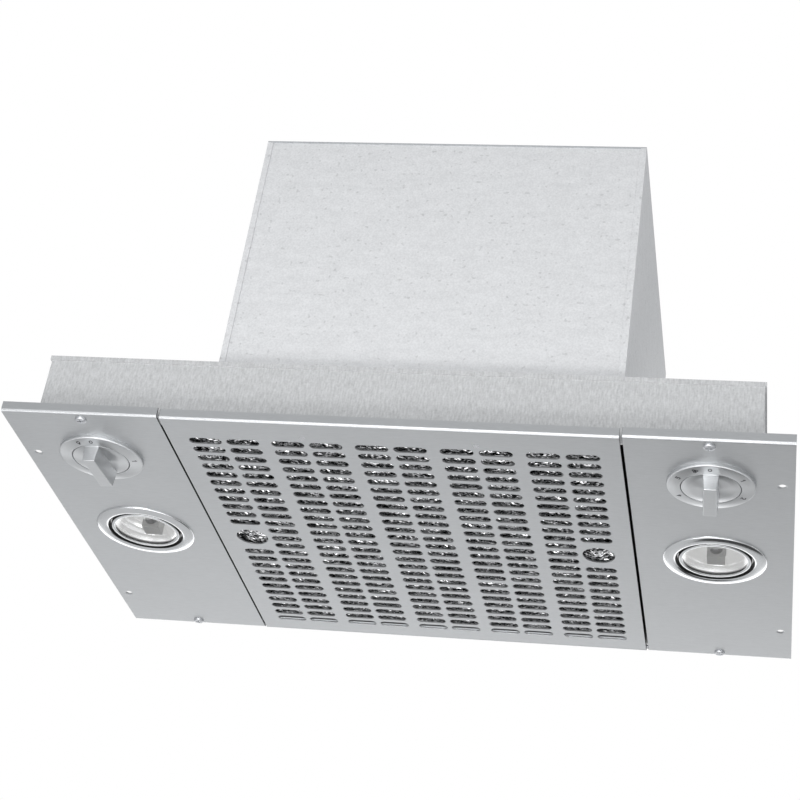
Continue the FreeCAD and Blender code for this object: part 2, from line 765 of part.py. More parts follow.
def side_deck(side):
    """A flat lid over one side of the rim, from its outer wall to the housing."""
    name = f"{side}_deck"
    edge = "sheet_fit + rim_sheet"
    if side == "left":
        wide = ("-half_rim + rim_sheet", f"housing_left_x - ({edge})")
    else:
        wide = (f"housing_right_x + {edge}", "half_rim - rim_sheet")
    lid = slab(f"{name}_lid", wide, ("inner_front_y", "inner_rear_y"), ("deck_z", "rim_height"))
    if side == "right":
        return lid
    hole = rod(f"{name}_cable_hole", ("cable_x", "cable_y", "deck_z - 1"), "cable_hole", "rim_sheet + 2")
    return cut(name, lid, [hole])


def housing_frame():
    """The frame round the housing's foot: four strips on edge, flanged to the rim at front and rear."""
    fit_x = ("housing_left_x - sheet_fit", "housing_right_x + sheet_fit")
    fit_y = ("housing_front_y - sheet_fit", "housing_rear_y + sheet_fit")
    strip_x = (f"{fit_x[0]} - rim_sheet", f"{fit_x[1]} + rim_sheet")
    strip_y = (f"{fit_y[0]} - rim_sheet", f"{fit_y[1]} + rim_sheet")
    whole = fuse("frame_whole", [
        slab("frame_strips", strip_x, strip_y, ("housing_foot_z", "rim_height")),
        slab("frame_flanges", strip_x, ("inner_front_y", "inner_rear_y"), ("deck_z", "rim_height")),
    ])
    opening = slab("frame_opening", fit_x, fit_y, ("housing_foot_z - 1", "rim_height + 1"))
    return cut("housing_frame", whole, [opening])


def housing_wrap():
    """The sheet round the left, rear and right of the housing, hemmed back at the front."""
    left, right = "housing_left_x", "housing_right_x"
    high = ("housing_foot_z", "housing_roof_z")
    deep = ("housing_front_y", "housing_rear_y")
    hem = ("housing_front_y", "housing_front_y + housing_sheet")
    return fuse("housing_wrap", [
        slab("wrap_left", (left, f"{left} + housing_sheet"), deep, high),
        slab("wrap_right", (f"{right} - housing_sheet", right), deep, high),
        slab("wrap_rear", (left, right), ("housing_rear_y - housing_sheet", "housing_rear_y"), high),
        slab("wrap_left_hem", (left, f"{left} + housing_hem"), hem, high),
        slab("wrap_right_hem", (f"{right} - housing_hem", right), hem, high),
    ])


def housing_front():
    """The flat front cover, behind the hems of the wrap."""
    inside = "housing_sheet + sheet_fit"
    return slab("housing_front", (f"housing_left_x + {inside}", f"housing_right_x - ({inside})"),
                ("housing_front_y + housing_sheet", "housing_front_y + 2 * housing_sheet"),
                ("housing_foot_z", "housing_roof_z"))


def collar_screw_places():
    """Four formulas pairs for the screws round the duct collar, between the axes."""
    reach = "collar_screw_circle * cos(45 deg)"
    return [(f"housing_shift + {sx} * {reach}", f"collar_y + {sy} * {reach}")
            for sx in (-1, 1) for sy in (-1, 1)]


def housing_top():
    """The roof of the housing: its edges turn down inside the wrap, and air leaves by its hole."""
    inside = "housing_sheet + sheet_fit"
    inner_x = (f"housing_left_x + {inside}", f"housing_right_x - ({inside})")
    inner_y = ("housing_front_y + 2 * housing_sheet + sheet_fit", f"housing_rear_y - ({inside})")
    turn_z = ("housing_roof_z - top_turndown", "housing_roof_z")
    roof = slab("roof_plate", ("housing_left_x", "housing_right_x"), ("housing_front_y", "housing_rear_y"),
                ("housing_roof_z", "housing_height"))
    block = slab("roof_turned_block", inner_x, inner_y, turn_z)
    gap = "housing_sheet"
    hollow = slab("roof_turned_hollow", (f"{inner_x[0]} + {gap}", f"{inner_x[1]} - {gap}"),
                  (f"{inner_y[0]} + {gap}", f"{inner_y[1]} - {gap}"), (f"{turn_z[0]} - 1", "housing_roof_z"))
    whole = fuse("roof_whole", [roof, cut("roof_turned", block, [hollow])])
    tools = [slab("roof_outlet", ("scroll_left_x", "scroll_right_x"), ("throat_front_y", "throat_rear_y"),
                  ("housing_roof_z - 1", "housing_height + 1"))]
    for index, (x, y) in enumerate(collar_screw_places()):
        tools.append(rod(f"roof_screw_hole_{index}", (x, y, "housing_roof_z - 1"),
                         "screw_radius + screw_clearance", "housing_sheet + 2"))
    return cut("housing_top", whole, tools)


# ---------------------------------------------------------------- duct collar and damper

def duct_collar():
    """The round collar that the duct slides over, standing on its foot ring."""
    foot = "housing_height + collar_flange_sheet"
    turned = ring("collar_turned", ("housing_shift", "collar_y", foot), "collar_radius", "collar_bore",
                  "collar_height - collar_flange_sheet")
    holes = rod("collar_rod_holes", ("housing_shift - collar_radius - 2", "collar_y", "damper_axis_z"),
                "damper_rod_radius + 0.05", "2 * collar_radius + 4", "right")
    return cut("duct_collar", turned, [holes])


def collar_flange():
    """The flat ring under the collar that is screwed to the roof."""
    flat = ring("flange_turned", ("housing_shift", "collar_y", "housing_height"),
                "collar_radius + collar_flange", "collar_bore", "collar_flange_sheet")
    tools = [rod(f"flange_screw_hole_{index}", (x, y, "housing_height - 1"),
                 "screw_radius + screw_clearance", "collar_flange_sheet + 2")
             for index, (x, y) in enumerate(collar_screw_places())]
    return cut("collar_flange", flat, tools)


def damper_rod():
    """The fixed rod across the collar that both flaps hang on; its ends lie in the collar's wall."""
    return rod("damper_rod", ("housing_shift - collar_radius + 0.1", "collar_y", "damper_axis_z"),
               "damper_rod_radius", "2 * collar_radius - 0.2", "right")


def damper_flap(end):
    """Half of the backdraft damper: a half disc with two curls round the rod."""
    name = f"damper_flap_{end}"
    sign = -1 if end == "front" else 1
    foot = "housing_height + damper_gap"
    disc = rod(f"{name}_disc", ("housing_shift", "collar_y", foot), "collar_bore - damper_edge_gap",
               "damper_sheet")
    near, far = "collar_y + 0.4", "collar_y + collar_radius"
    if end == "front":
        near, far = "collar_y - collar_radius", "collar_y - 0.4"
    half = slab(f"{name}_half", ("housing_shift - collar_radius", "housing_shift + collar_radius"),
                (near, far), (f"{foot} - 1", f"{foot} + 3"))
    plate = doc.addObject("Part::MultiCommon", f"{name}_plate")
    plate.Shapes = [disc, half]
    curls, gaps = [], []
    for step in (-2, -1, 0, 1):
        start = f"housing_shift + {step} * damper_knuckle_long"
        if (step % 2 == 0) == (end == "front"):
            curls.append(rod(f"{name}_curl_{step + 2}", (f"{start} + 0.3", "collar_y", "damper_axis_z"),
                             "damper_knuckle", "damper_knuckle_long - 0.6", "right"))
            continue
        gaps.append(slab(f"{name}_gap_{step + 2}",
                         (f"{start} - 0.5", f"{start} + damper_knuckle_long + 0.5"),
                         ("collar_y - damper_knuckle - 0.8", "collar_y + damper_knuckle + 0.8"),
                         (f"{foot} - 1", f"{foot} + damper_sheet + 1")))
    leaf = cut(f"{name}_leaf", plate, gaps)
    webs = []
    for index, curl_step in enumerate([s for s in (-2, -1, 0, 1) if (s % 2 == 0) == (end == "front")]):
        start = f"housing_shift + {curl_step} * damper_knuckle_long"
        reach = ("collar_y + 0.4", "collar_y + damper_knuckle")
        if sign < 0:
            reach = ("collar_y - damper_knuckle", "collar_y - 0.4")
        webs.append(slab(f"{name}_web_{index}", (f"{start} + 0.5", f"{start} + damper_knuckle_long - 0.5"),
                         reach, (foot, "damper_axis_z")))
    whole = fuse(f"{name}_whole", [leaf] + curls + webs)
    bore = rod(f"{name}_bore", ("housing_shift - collar_radius", "collar_y", "damper_axis_z"),
               "damper_rod_radius + hinge_clearance", "2 * collar_radius", "right")
    return cut(name, whole, [bore])


# ---------------------------------------------------------------- blower

def scroll_arcs(offset):
    """The scroll's path in its own Y, Z plane, moved out by offset: its edges and end points.

    Three quarter turns round the corners of a small square, each larger by the growth, run from
    the top over the front and bottom to the rear. The tongue starts the first of them early.
    """
    growth = value("scroll_growth")
    first = value("scroll_first_radius")
    y, z = value("wheel_y"), value("wheel_z")
    top = value("housing_roof_z")
    centres = [(y - growth / 2, z - growth / 2), (y + growth / 2, z - growth / 2),
               (y + growth / 2, z + growth / 2)]
    radii = [first + step * growth + offset for step in range(3)]
    tongue_y = value("throat_front_y") - offset
    tongue_z = centres[0][1] + math.sqrt(radii[0] ** 2 - (tongue_y - centres[0][0]) ** 2)

    def at(step, angle):
        """A point of one arc at an angle from the rear, turning up."""
        return spot(0, centres[step][0] + radii[step] * math.cos(angle),
                    centres[step][1] + radii[step] * math.sin(angle))

    start = math.atan2(tongue_z - centres[0][1], tongue_y - centres[0][0])
    edges = [Part.makeLine(spot(0, tongue_y, top), spot(0, tongue_y, tongue_z))]
    turns = [(0, start, math.pi), (1, math.pi, 1.5 * math.pi), (2, 1.5 * math.pi, 2 * math.pi)]
    for step, begin, end in turns:
        edges.append(Part.Arc(at(step, begin), at(step, (begin + end) / 2), at(step, end)).toShape())
    last = at(2, 2 * math.pi)
    edges.append(Part.makeLine(last, spot(0, last.y, top)))
    return edges, spot(0, tongue_y, top), spot(0, last.y, top)


def scroll_wrap():
    """The scroll's strip, from the tongue round the wheel and up to the outlet."""
    inner, inner_start, inner_end = scroll_arcs(0.0)
    outer, outer_start, outer_end = scroll_arcs(value("scroll_sheet"))
    edges = inner + [Part.makeLine(inner_end, outer_end)] + outer + [Part.makeLine(outer_start, inner_start)]
    strip = Part.Face(Part.Wire(Part.__sortEdges__(edges)))
    solid = strip.extrude(spot(value("scroll_width"), 0, 0))
    solid.translate(spot(value("scroll_left_x"), 0, 0))
    return shaped("scroll_wrap", solid)


def scroll_side(side):
    """One side of the scroll, with the lipped inlet that the air goes in by."""
    sheet = value("scroll_sheet")
    lip = value("inlet_lip")
    inlet = value("inlet_radius")
    y, z = value("wheel_y"), value("wheel_z")
    edges, start, end = scroll_arcs(sheet)
    face = Part.Face(Part.Wire(Part.__sortEdges__(edges + [Part.makeLine(end, start)])))
    along = spot(1, 0, 0)
    plate = face.extrude(spot(sheet, 0, 0))
    plate = plate.cut(Part.makeCylinder(inlet, sheet + 2, spot(-1, y, z), along))
    edge = Part.makeCylinder(inlet + sheet, lip + sheet, spot(0, y, z), along)
    edge = edge.cut(Part.makeCylinder(inlet, lip + sheet + 2, spot(-1, y, z), along))
    if side == "right":
        edge.translate(spot(-lip, 0, 0))
    whole = plate.fuse(edge).removeSplitter()
    x = value("scroll_left_x") - sheet if side == "left" else value("scroll_right_x")
    whole.translate(spot(x, 0, 0))
    if side == "right":
        holes = [Part.makeCylinder(value("screw_radius") + value("screw_clearance"), 6,
                                   spot(x - 3, *place), along) for place in bracket_foot_places()]
        for hole in holes:
            whole = whole.cut(hole)
    return shaped(f"scroll_side_{side}", whole)


BRACKET_ANGLES = (30.0, 150.0, 270.0)


def bracket_foot_places():
    """Where the bracket's three feet are screwed to the scroll's side."""
    reach = value("bracket_reach") + value("bracket_foot") / 2 + value("bracket_sheet")
    return [(value("wheel_y") + reach * math.cos(math.radians(angle)),
             value("wheel_z") + reach * math.sin(math.radians(angle))) for angle in BRACKET_ANGLES]


def wheel_tube(outer, bore, low, length):
    """A short tube about the wheel's own axis."""
    along = spot(1, 0, 0)
    solid = Part.makeCylinder(outer, length, spot(low, 0, 0), along)
    return solid.cut(Part.makeCylinder(bore, length + 2, spot(low - 1, 0, 0), along))


def wheel_rings():
    """The two flat end rings that the blades are riveted to."""
    radius, width, sheet = value("wheel_radius"), value("wheel_width"), value("blade_sheet")
    inner = radius - value("blade_depth")
    rings = Part.makeCompound([wheel_tube(radius, inner, -width / 2, sheet),
                               wheel_tube(radius, inner, width / 2 - sheet, sheet)])
    return put(shaped("wheel_rings", rings), ("housing_shift", "wheel_y", "wheel_z"))


def wheel_hub():
    """The centre disc inside the blades, with the hub that is pressed on the motor's shaft."""
    bore = value("motor_shaft_radius") + 0.02
    disc, length = value("wheel_disc"), value("wheel_hub_length")
    reach = value("wheel_radius") - value("blade_depth") + 0.28
    whole = wheel_tube(reach, bore, -disc / 2, disc).fuse(
        wheel_tube(value("wheel_hub_radius"), bore, -length / 2, length)).removeSplitter()
    return put(shaped("wheel_hub", whole), ("housing_shift", "wheel_y", "wheel_z"))


def wheel_blades():
    """The curved blades of the squirrel-cage wheel, between the end rings."""
    radius, depth = value("wheel_radius"), value("blade_depth")
    width, sheet = value("wheel_width"), value("blade_sheet")
    start = -width / 2 + sheet

    def polar(distance, angle):
        """A point in the plane of a blade's left end."""
        return spot(start, distance * math.cos(angle), distance * math.sin(angle))

    lean = math.radians(7.0)
    thick = sheet / radius
    count = int(value("wheel_blades"))
    blades = []
    for index in range(count):
        turn = 2 * math.pi * index / count
        low, mid, high = radius - depth + 0.3, radius - 0.45 * depth, radius - 0.3
        edges = [
            Part.Arc(polar(low, turn), polar(mid, turn + 0.3 * lean), polar(high, turn + lean)).toShape(),
            Part.makeLine(polar(high, turn + lean), polar(high, turn + lean + thick)),
            Part.Arc(polar(high, turn + lean + thick), polar(mid, turn + 0.3 * lean + thick),
                     polar(low, turn + thick)).toShape(),
            Part.makeLine(polar(low, turn + thick), polar(low, turn)),
        ]
        blades.append(Part.Face(Part.Wire(edges)).extrude(spot(width - 2 * sheet, 0, 0)))
    wheel = shaped("wheel_blades", Part.makeCompound(blades))
    return put(wheel, ("housing_shift", "wheel_y", "wheel_z"))


def motor_bolt_places():
    """Where the four long bolts of the motor stand, as distances from its axis."""
    reach = value("motor_bolt_circle") * math.cos(math.radians(45))
    return [(sy * reach, sz * reach) for sy in (-1, 1) for sz in (-1, 1)]


def motor_bolt_rods(name, radius):
    """Four bars along the motor at its bolt circle."""
    rods = []
    for index, (y, z) in enumerate(motor_bolt_places()):
        rods.append(rod(f"{name}_{index}", ("motor_left_x - 2", f"wheel_y + {y}", f"wheel_z + {z}"), radius,
                        "motor_right_x - motor_left_x + 4", "right"))
    return rods


def motor_bell(end):
    """A pressed end cap of the motor, with a boss that holds a sleeve bearing."""
    name = f"motor_bell_{end}"
    boss = "bearing_radius + motor_wall"
    shaft_hole = "motor_shaft_radius + 0.6"
    corners = [(shaft_hole, "0"), ("motor_radius", "0"), ("motor_radius", "motor_bell"),
               ("motor_radius - motor_wall", "motor_bell"), ("motor_radius - motor_wall", "motor_wall"),
               (boss, "motor_wall"), (boss, "motor_wall + bearing_length"),
               ("bearing_radius", "motor_wall + bearing_length"), ("bearing_radius", "motor_wall"),
               (shaft_hole, "motor_wall")]
    if end == "outer":
        corners = [(r, f"2 * motor_bell + stator_length - ({h})") for r, h in reversed(corners)]
    turned = lathe(f"{name}_turned", corners, ("motor_left_x", "wheel_y", "wheel_z"), "right")
    return cut(name, turned, motor_bolt_rods(f"{name}_hole", "motor_bolt_radius + 0.1"))


def motor_stator():
    """The stack of iron between the end caps, bored for the rotor."""
    stack = ring("stator_stack", ("motor_left_x + motor_bell", "wheel_y", "wheel_z"), "motor_radius + 1",
                 "rotor_radius + rotor_gap", "stator_length", "right")
    return cut("motor_stator", stack, motor_bolt_rods("stator_hole", "motor_bolt_radius + 0.1"))


def motor_rotor():
    """The rotor, pressed on the shaft inside the stator."""
    return ring("motor_rotor", ("motor_left_x + motor_bell", "wheel_y", "wheel_z"), "rotor_radius",
                "motor_shaft_radius + 0.02", "stator_length", "right")


def motor_shaft():
    """The shaft from the wheel's hub through both bearings."""
    start = "housing_shift - wheel_hub_length / 2 - 4"
    return rod("motor_shaft", (start, "wheel_y", "wheel_z"), "motor_shaft_radius",
               f"motor_right_x + 3 - ({start})", "right")


def motor_bearings():
    """Two sleeve bearings, one in each end cap."""
    bore = "motor_shaft_radius + motor_shaft_clearance"
    near = ring("bearing_inner", ("motor_left_x + motor_wall", "wheel_y", "wheel_z"), "bearing_radius",
                bore, "bearing_length", "right")
    far = ring("bearing_outer", ("motor_right_x - motor_wall - bearing_length", "wheel_y", "wheel_z"),
               "bearing_radius", bore, "bearing_length", "right")
    return group("motor_bearings", [near, far])


def motor_bolts():
    """Four long bolts that draw the end caps together, with their heads outside."""
    bolts = []
    for index, (y, z) in enumerate(motor_bolt_places()):
        y_formula, z_formula = f"wheel_y + {y}", f"wheel_z + {z}"
        shank = rod(f"motor_bolt_shank_{index}", ("motor_left_x - 1.5", y_formula, z_formula),
                    "motor_bolt_radius", "motor_right_x - motor_left_x + 3", "right")
        head = hexagon(f"motor_bolt_head_{index}", ("motor_right_x", y_formula, z_formula),
                       "motor_bolt_radius + 1.8", "2.4", "right")
        bolts.append(fuse(f"motor_bolt_{index}", [shank, head]))
    return group("motor_bolts", bolts)


def motor_bracket():
    """A band round the motor with three arms to feet on the scroll's side."""
    sheet, width = value("bracket_sheet"), value("bracket_width")
    reach, foot = value("bracket_reach"), value("bracket_foot")
    bore = value("motor_radius") + 1
    wall_x = value("scroll_right_x") + value("scroll_sheet")
    middle = (value("motor_left_x") + value("motor_right_x")) / 2
    y, z = value("wheel_y"), value("wheel_z")
    along = spot(1, 0, 0)
    band_x = middle - width / 2
    band = Part.makeCylinder(bore + sheet, width, spot(band_x, 0, 0), along)
    parts = [band]
    for angle in BRACKET_ANGLES:
        arm = Part.makeBox(sheet, reach + sheet - bore, width, spot(band_x, bore, -width / 2))
        leg = Part.makeBox(band_x + sheet - wall_x, sheet, width, spot(wall_x, reach, -width / 2))
        pad = Part.makeBox(sheet, foot + sheet, width, spot(wall_x, reach, -width / 2))
        hole = Part.makeCylinder(value("screw_radius") + value("screw_clearance"), sheet + 2,
                                 spot(wall_x - 1, reach + sheet + foot / 2, 0), along)
        limb = arm.fuse([leg, pad]).cut(hole)
        limb.rotate(spot(0, 0, 0), along, angle)
        parts.append(limb)
    whole = parts[0].multiFuse(parts[1:]).removeSplitter()
    whole = whole.cut(Part.makeCylinder(bore, width + 4, spot(band_x - 2, 0, 0), along))
    whole.translate(spot(0, y, z))
    return shaped("motor_bracket", whole)


# ---------------------------------------------------------------- switches, dials and knobs

CONTROLS = {"fan": 1, "light": -1}


def switch(control):
    """A rotary switch above the panel, with its threaded bushing down through it."""
    name = f"{control}_switch"
    x = f"{CONTROLS[control]} * column_x"
    half = f"{control}_switch_side / 2"
    case = slab(f"{name}_case", (f"{x} - {half}", f"{x} + {half}"), (f"knob_y - {half}", f"knob_y + {half}"),
                ("0", f"{control}_switch_height"))
    neck = rod(f"{name}_neck", (x, "knob_y", "under_z - bushing_length"), "bushing_radius",
               "bushing_length + face_sheet + 1")
    bore = rod(f"{name}_bore", (x, "knob_y", "under_z - bushing_length - 1"),
               "shaft_radius + shaft_clearance",
               f"bushing_length + face_sheet + {control}_switch_height - 3")
    return cut(name, fuse(f"{name}_body", [case, neck]), [bore])


def switch_shaft(control):
    """The switch's shaft, with the flat that the knob drives."""
    name = f"{control}_shaft"
    x = f"{CONTROLS[control]} * column_x"
    foot = "under_z - shaft_reach"
    bar = rod(f"{name}_bar", (x, "knob_y", foot), "shaft_radius",
              f"shaft_reach + face_sheet + {control}_switch_height - 6")
    flat = slab(f"{name}_flat", (f"{x} - 5", f"{x} + 5"), ("knob_y + shaft_flat", "knob_y + 5"),
                (f"{foot} - 1", "under_z - dial_height + knob_skin + 0.2"))
    return cut(name, bar, [flat])


def switch_nuts():
    """The two flat nuts that clamp the switches to the side panels."""
    nuts = []
    for control, sign in CONTROLS.items():
        x = f"{sign} * column_x"
        blank = hexagon(f"{control}_nut_blank", (x, "knob_y", "under_z - nut_height"), "nut_radius",
                        "nut_height")
        hole = rod(f"{control}_nut_hole", (x, "knob_y", "under_z - nut_height - 1"), "bushing_radius + 0.02",
                   "nut_height + 2")
        nuts.append(cut(f"{control}_nut", blank, [hole]))
    return group("switch_nuts", nuts)


def dial(control):
    """The fixed dial ring round a knob: thin at its edge and rising to its bore."""
    rounding = "dial_radius - 0.8"
    corners = [("dial_bore", "0"), ("dial_radius", "0"), ("dial_radius", "dial_edge - 0.6"),
               (rounding, "dial_edge"), ("dial_bore", "dial_height")]
    centre = (f"{CONTROLS[control]} * column_x", "knob_y", "under_z")
    return lathe(f"{control}_dial", corners, centre, "down")


def knob(control):
    """A knob: a hollow disc in the dial's bore and a tapered grip bar across it."""
    name = f"{control}_knob"
    body = doc.addObject("PartDesign::Body", name)
    cavity = "knob_radius - knob_wall"
    face = "dial_height"
    corners = [("0", "dial_height - knob_skin"), (cavity, "dial_height - knob_skin"),
               (cavity, "knob_back_gap"),
               ("knob_radius", "knob_back_gap"), ("knob_radius", face), ("0", face)]
    sketch = outline(flat_sketch(body, f"{name}_disc_outline", "XZ_Plane"), corners, rough(corners))
    disc = body.newObject("PartDesign::Revolution", f"{name}_disc")
    disc.Profile = sketch
    disc.ReferenceAxis = (sketch, ["V_Axis"])
    disc.Angle = 360
    tip, tail = "grip_length / 2", "-grip_length / 2"

    def footprint(label, flare, lift):
        """The grip's outline at one height: narrow at the pointer, wide at the tail."""
        front, rear = f"(grip_front_width + {flare}) / 2", f"(grip_rear_width + {flare}) / 2"
        points = [(f"-{front}", tip), (f"-{rear}", tail), (rear, tail), (front, tip)]
        return outline(flat_sketch(body, label, "XY_Plane", lift), points, rough(points))

    low = footprint(f"{name}_grip_foot", "grip_flare", "dial_height - knob_skin / 2")
    high = footprint(f"{name}_grip_end", "0 * grip_flare", "grip_height")
    grip = body.newObject("PartDesign::AdditiveLoft", f"{name}_grip")
    grip.Profile = low
    grip.Sections = [high]
    doc.recompute()
    floor = value("grip_height")
    rim = [f"Edge{number}" for number, edge in enumerate(grip.Shape.Edges, start=1)
           if all(abs(vertex.Point.z - floor) < 1e-4 for vertex in edge.Vertexes)]
    soft = body.newObject("PartDesign::Fillet", f"{name}_soft_edge")
    soft.Base = (grip, rim)
    soft.Radius = min(value("grip_edge"), 0.4 * value("grip_front_width"))
    for item in (sketch, low, high):
        item.Visibility = False
    put(body, (f"{CONTROLS[control]} * column_x", "knob_y", "under_z"), "down")
    x = f"{CONTROLS[control]} * column_x"
    depth = "shaft_reach + 0.2"
    hole = rod(f"{name}_bore", (x, "knob_y", f"under_z - ({depth})"), "shaft_radius + 0.03", depth)
    key = slab(f"{name}_key", (f"{x} - 5", f"{x} + 5"), ("knob_y + shaft_flat + 0.03", "knob_y + 5"),
               (f"under_z - ({depth}) - 1", "under_z - dial_height + knob_skin"))
    drive = cut(f"{name}_drive", hole, [key])
    body.Label = f"{name}_moulding"
    return cut(f"{name}_bored", body, [drive])


# ---------------------------------------------------------------- lamps

LUG_ANGLES = (60.0, 180.0, 300.0)


def pie(name, centre, inner, outer, turn, angle, z_span):
    """A short arc of a ring, from one radius to another, about an upright axis."""
    low, high = z_span
    tube = ring(f"{name}_ring", (centre[0], centre[1], low), outer, inner, f"({high}) - ({low})")
    wedge = doc.addObject("Part::Cylinder", f"{name}_wedge")
    wedge.setExpression("Radius", bound(f"{outer} + 2"))
    wedge.setExpression("Height", bound(f"({high}) - ({low}) + 2"))
    wedge.setExpression("Angle", bound(angle))
    begin = turn - solved(angle) / 2
    wedge.Placement = FreeCAD.Placement(spot(0, 0), FreeCAD.Rotation(spot(0, 0, 1), begin))
    for axis, formula in zip("xyz", (centre[0], centre[1], f"({low}) - 1")):
        wedge.setExpression(f"Placement.Base.{axis}", bound(formula))
    piece = doc.addObject("Part::MultiCommon", name)
    piece.Shapes = [tube, wedge]
    return piece


def lamp_centre(side):
    """The lamp's centre on one side."""
    return (f"{side_sign(side)} * column_x", "lamp_y")


TRIM_STEPS = 14
TRIM_CREST = 0.3


def trim_height(share):
    """The flange's height as a share of its depth, from its bore (0) to its rim (1).

    It rises from a lip at the bore to the crest on a parabola and falls to the
    rim on a flattened quarter ellipse.
    """
    if share < TRIM_CREST:
        return 1 - 0.2 * ((TRIM_CREST - share) / TRIM_CREST) ** 2
    return 0.16 + 0.84 * (1 - ((share - TRIM_CREST) / (1 - TRIM_CREST)) ** 2.4) ** 0.5


def lamp_trim(side):
    """The chromed trim: a domed flange below the panel, a sleeve through it, tabs and ledges."""
    name = f"lamp_trim_{side}"
    x, y = lamp_centre(side)
    corners = [("sleeve_bore", "0")]
    for step in range(TRIM_STEPS + 1):
        share = step / TRIM_STEPS
        corners.append((f"sleeve_bore + (trim_radius - sleeve_bore) * {share:.4f}",
                        f"trim_depth * {trim_height(share):.4f}"))
    corners.append(("trim_radius", "0"))
    flange = lathe(f"{name}_flange", corners, (x, y, "under_z"), "down")
    sleeve = ring(f"{name}_sleeve", (x, y, "under_z - trim_depth / 4"), "sleeve_bore + sleeve_wall",
                  "sleeve_bore", "trim_depth / 4 + face_sheet + sleeve_height")
    pieces = [flange, sleeve]
    for index, turn in enumerate(LUG_ANGLES):
        pieces.append(pie(f"{name}_tab_{index}", (x, y), "sleeve_bore + 0.3",
                          "lamp_hole + trim_tab", turn + 60, "2 * lug_angle", ("0", "0.8")))
        pieces.append(pie(f"{name}_ledge_{index}", (x, y), "lens_ring_radius + 0.3",
                          "sleeve_bore + 0.5", turn, "lug_angle",
                          ("-lug_height - 0.6", "-lens_fit - 0.6")))
    return fuse(name, pieces)


def lens_ring(side):
    """The bayonet ring that holds the glass, with three lugs above the trim's ledges."""
    name = f"lens_ring_{side}"
    x, y = lamp_centre(side)
    seat = "lens_radius + lens_fit"
    floor = "lens_floor"
    corners = [("lens_ring_bore", "0"), ("lens_ring_radius", "0"),
               ("lens_ring_radius", "lens_ring_depth + lens_ring_height"),
               (seat, "lens_ring_depth + lens_ring_height"), (seat, floor), ("lens_ring_bore", floor)]
    turned = lathe(f"{name}_turned", corners, (x, y, "under_z - lens_ring_depth"))
    pieces = [turned]
    for index, turn in enumerate(LUG_ANGLES):
        pieces.append(pie(f"{name}_lug_{index}", (x, y), "lens_ring_radius - 0.5",
                          "sleeve_bore - 0.2", turn, "lug_angle", ("-0.6", "lug_height - 0.6")))
    return fuse(name, pieces)


def lamp_lens(side):
    """The clear glass disc in the ring."""
    x, y = lamp_centre(side)
    foot = "under_z - lens_ring_depth + lens_floor + lens_fit"
    return rod(f"lamp_lens_{side}", (x, y, foot), "lens_radius", "lens_thickness")


def lamp_reflector(side):
    """The polished bowl behind the glass, open at the back for the lamp holder."""
    name = f"lamp_reflector_{side}"
    x, y = lamp_centre(side)
    sheet = "reflector_sheet"
    mouth = "lens_radius - 0.6"
    steps = 6
    inside, outside = [], []
    for step in range(steps + 1):
        share = step / steps
        radius = f"({mouth}) - ({mouth} - reflector_neck) * {share ** 1.6:.4f}"
        height = f"reflector_depth * {share ** 0.85:.4f}"
        inside.append((radius, height))
        outside.append((f"{radius} + {sheet}", height))
    outside[-1] = (outside[-1][0], f"reflector_depth + {sheet}")
    corners = inside + [("0", "reflector_depth"), ("0", f"reflector_depth + {sheet}")]
    corners += list(reversed(outside[1:]))
    corners += [(f"{mouth} + {sheet}", sheet), ("sleeve_bore - 0.3", sheet), ("sleeve_bore - 0.3", "0")]
    bowl = lathe(f"{name}_bowl", corners,
                 (x, y, "under_z + lens_ring_height + 0.4"))
    half = "lamp_socket_side / 2 + 0.4"
    notch = slab(f"{name}_notch", (f"{x} - ({half})", f"{x} + {half}"),
                 (f"{y} + 6 - 0.4", f"{y} + 6 + lamp_socket_side + 0.4"), ("lens_ring_height + 1", "60"))
    return cut(name, bowl, [notch])


def lamp_socket(side):
    """The ceramic holder that comes into the bowl from above and behind."""
    x, y = lamp_centre(side)
    half = "lamp_socket_side / 2"
    return slab(f"lamp_socket_{side}", (f"{x} - {half}", f"{x} + {half}"),
                (f"{y} + 6", f"{y} + 6 + lamp_socket_side"),
                ("lens_ring_height + 3", "lens_ring_height + 3 + lamp_socket_height"))


def lamp_bulb(side):
    """The capsule bulb, lying forward out of its holder."""
    name = f"lamp_bulb_{side}"
    x, y = lamp_centre(side)
    tail = f"{y} + 6 - bulb_length"
    height = "lens_ring_height + 3 + bulb_radius + 2"
    capsule = rod(f"{name}_capsule", (x, f"{tail} + bulb_radius", height), "bulb_radius",
                  "bulb_length - bulb_radius", "rear")
    dome = doc.addObject("Part::Sphere", f"{name}_dome")
    dome.setExpression("Radius", bound("bulb_radius"))
    put(dome, (x, f"{tail} + bulb_radius", height))
    return fuse(name, [capsule, dome])


# ---------------------------------------------------------------- filter

def filter_frame():
    """The folded aluminium channel round the filter."""
    half = "filter_width / 2"
    outer = slab("filter_outer", (f"-{half}", half), ("filter_front_y", "filter_rear_y"),
                 ("grille_top_z", "filter_top_z"))
    inner = slab("filter_window", (f"-{half} + filter_rail", f"{half} - filter_rail"),
                 ("filter_front_y + filter_rail", "filter_rear_y - filter_rail"),
                 ("grille_top_z - 1", "filter_top_z + 1"))
    channel = slab("filter_channel", (f"-{half} + filter_sheet", f"{half} - filter_sheet"),
                   ("filter_front_y + filter_sheet", "filter_rear_y - filter_sheet"),
                   ("grille_top_z + filter_sheet", "filter_top_z - filter_sheet"))
    return cut("filter_frame", outer, [inner, channel])


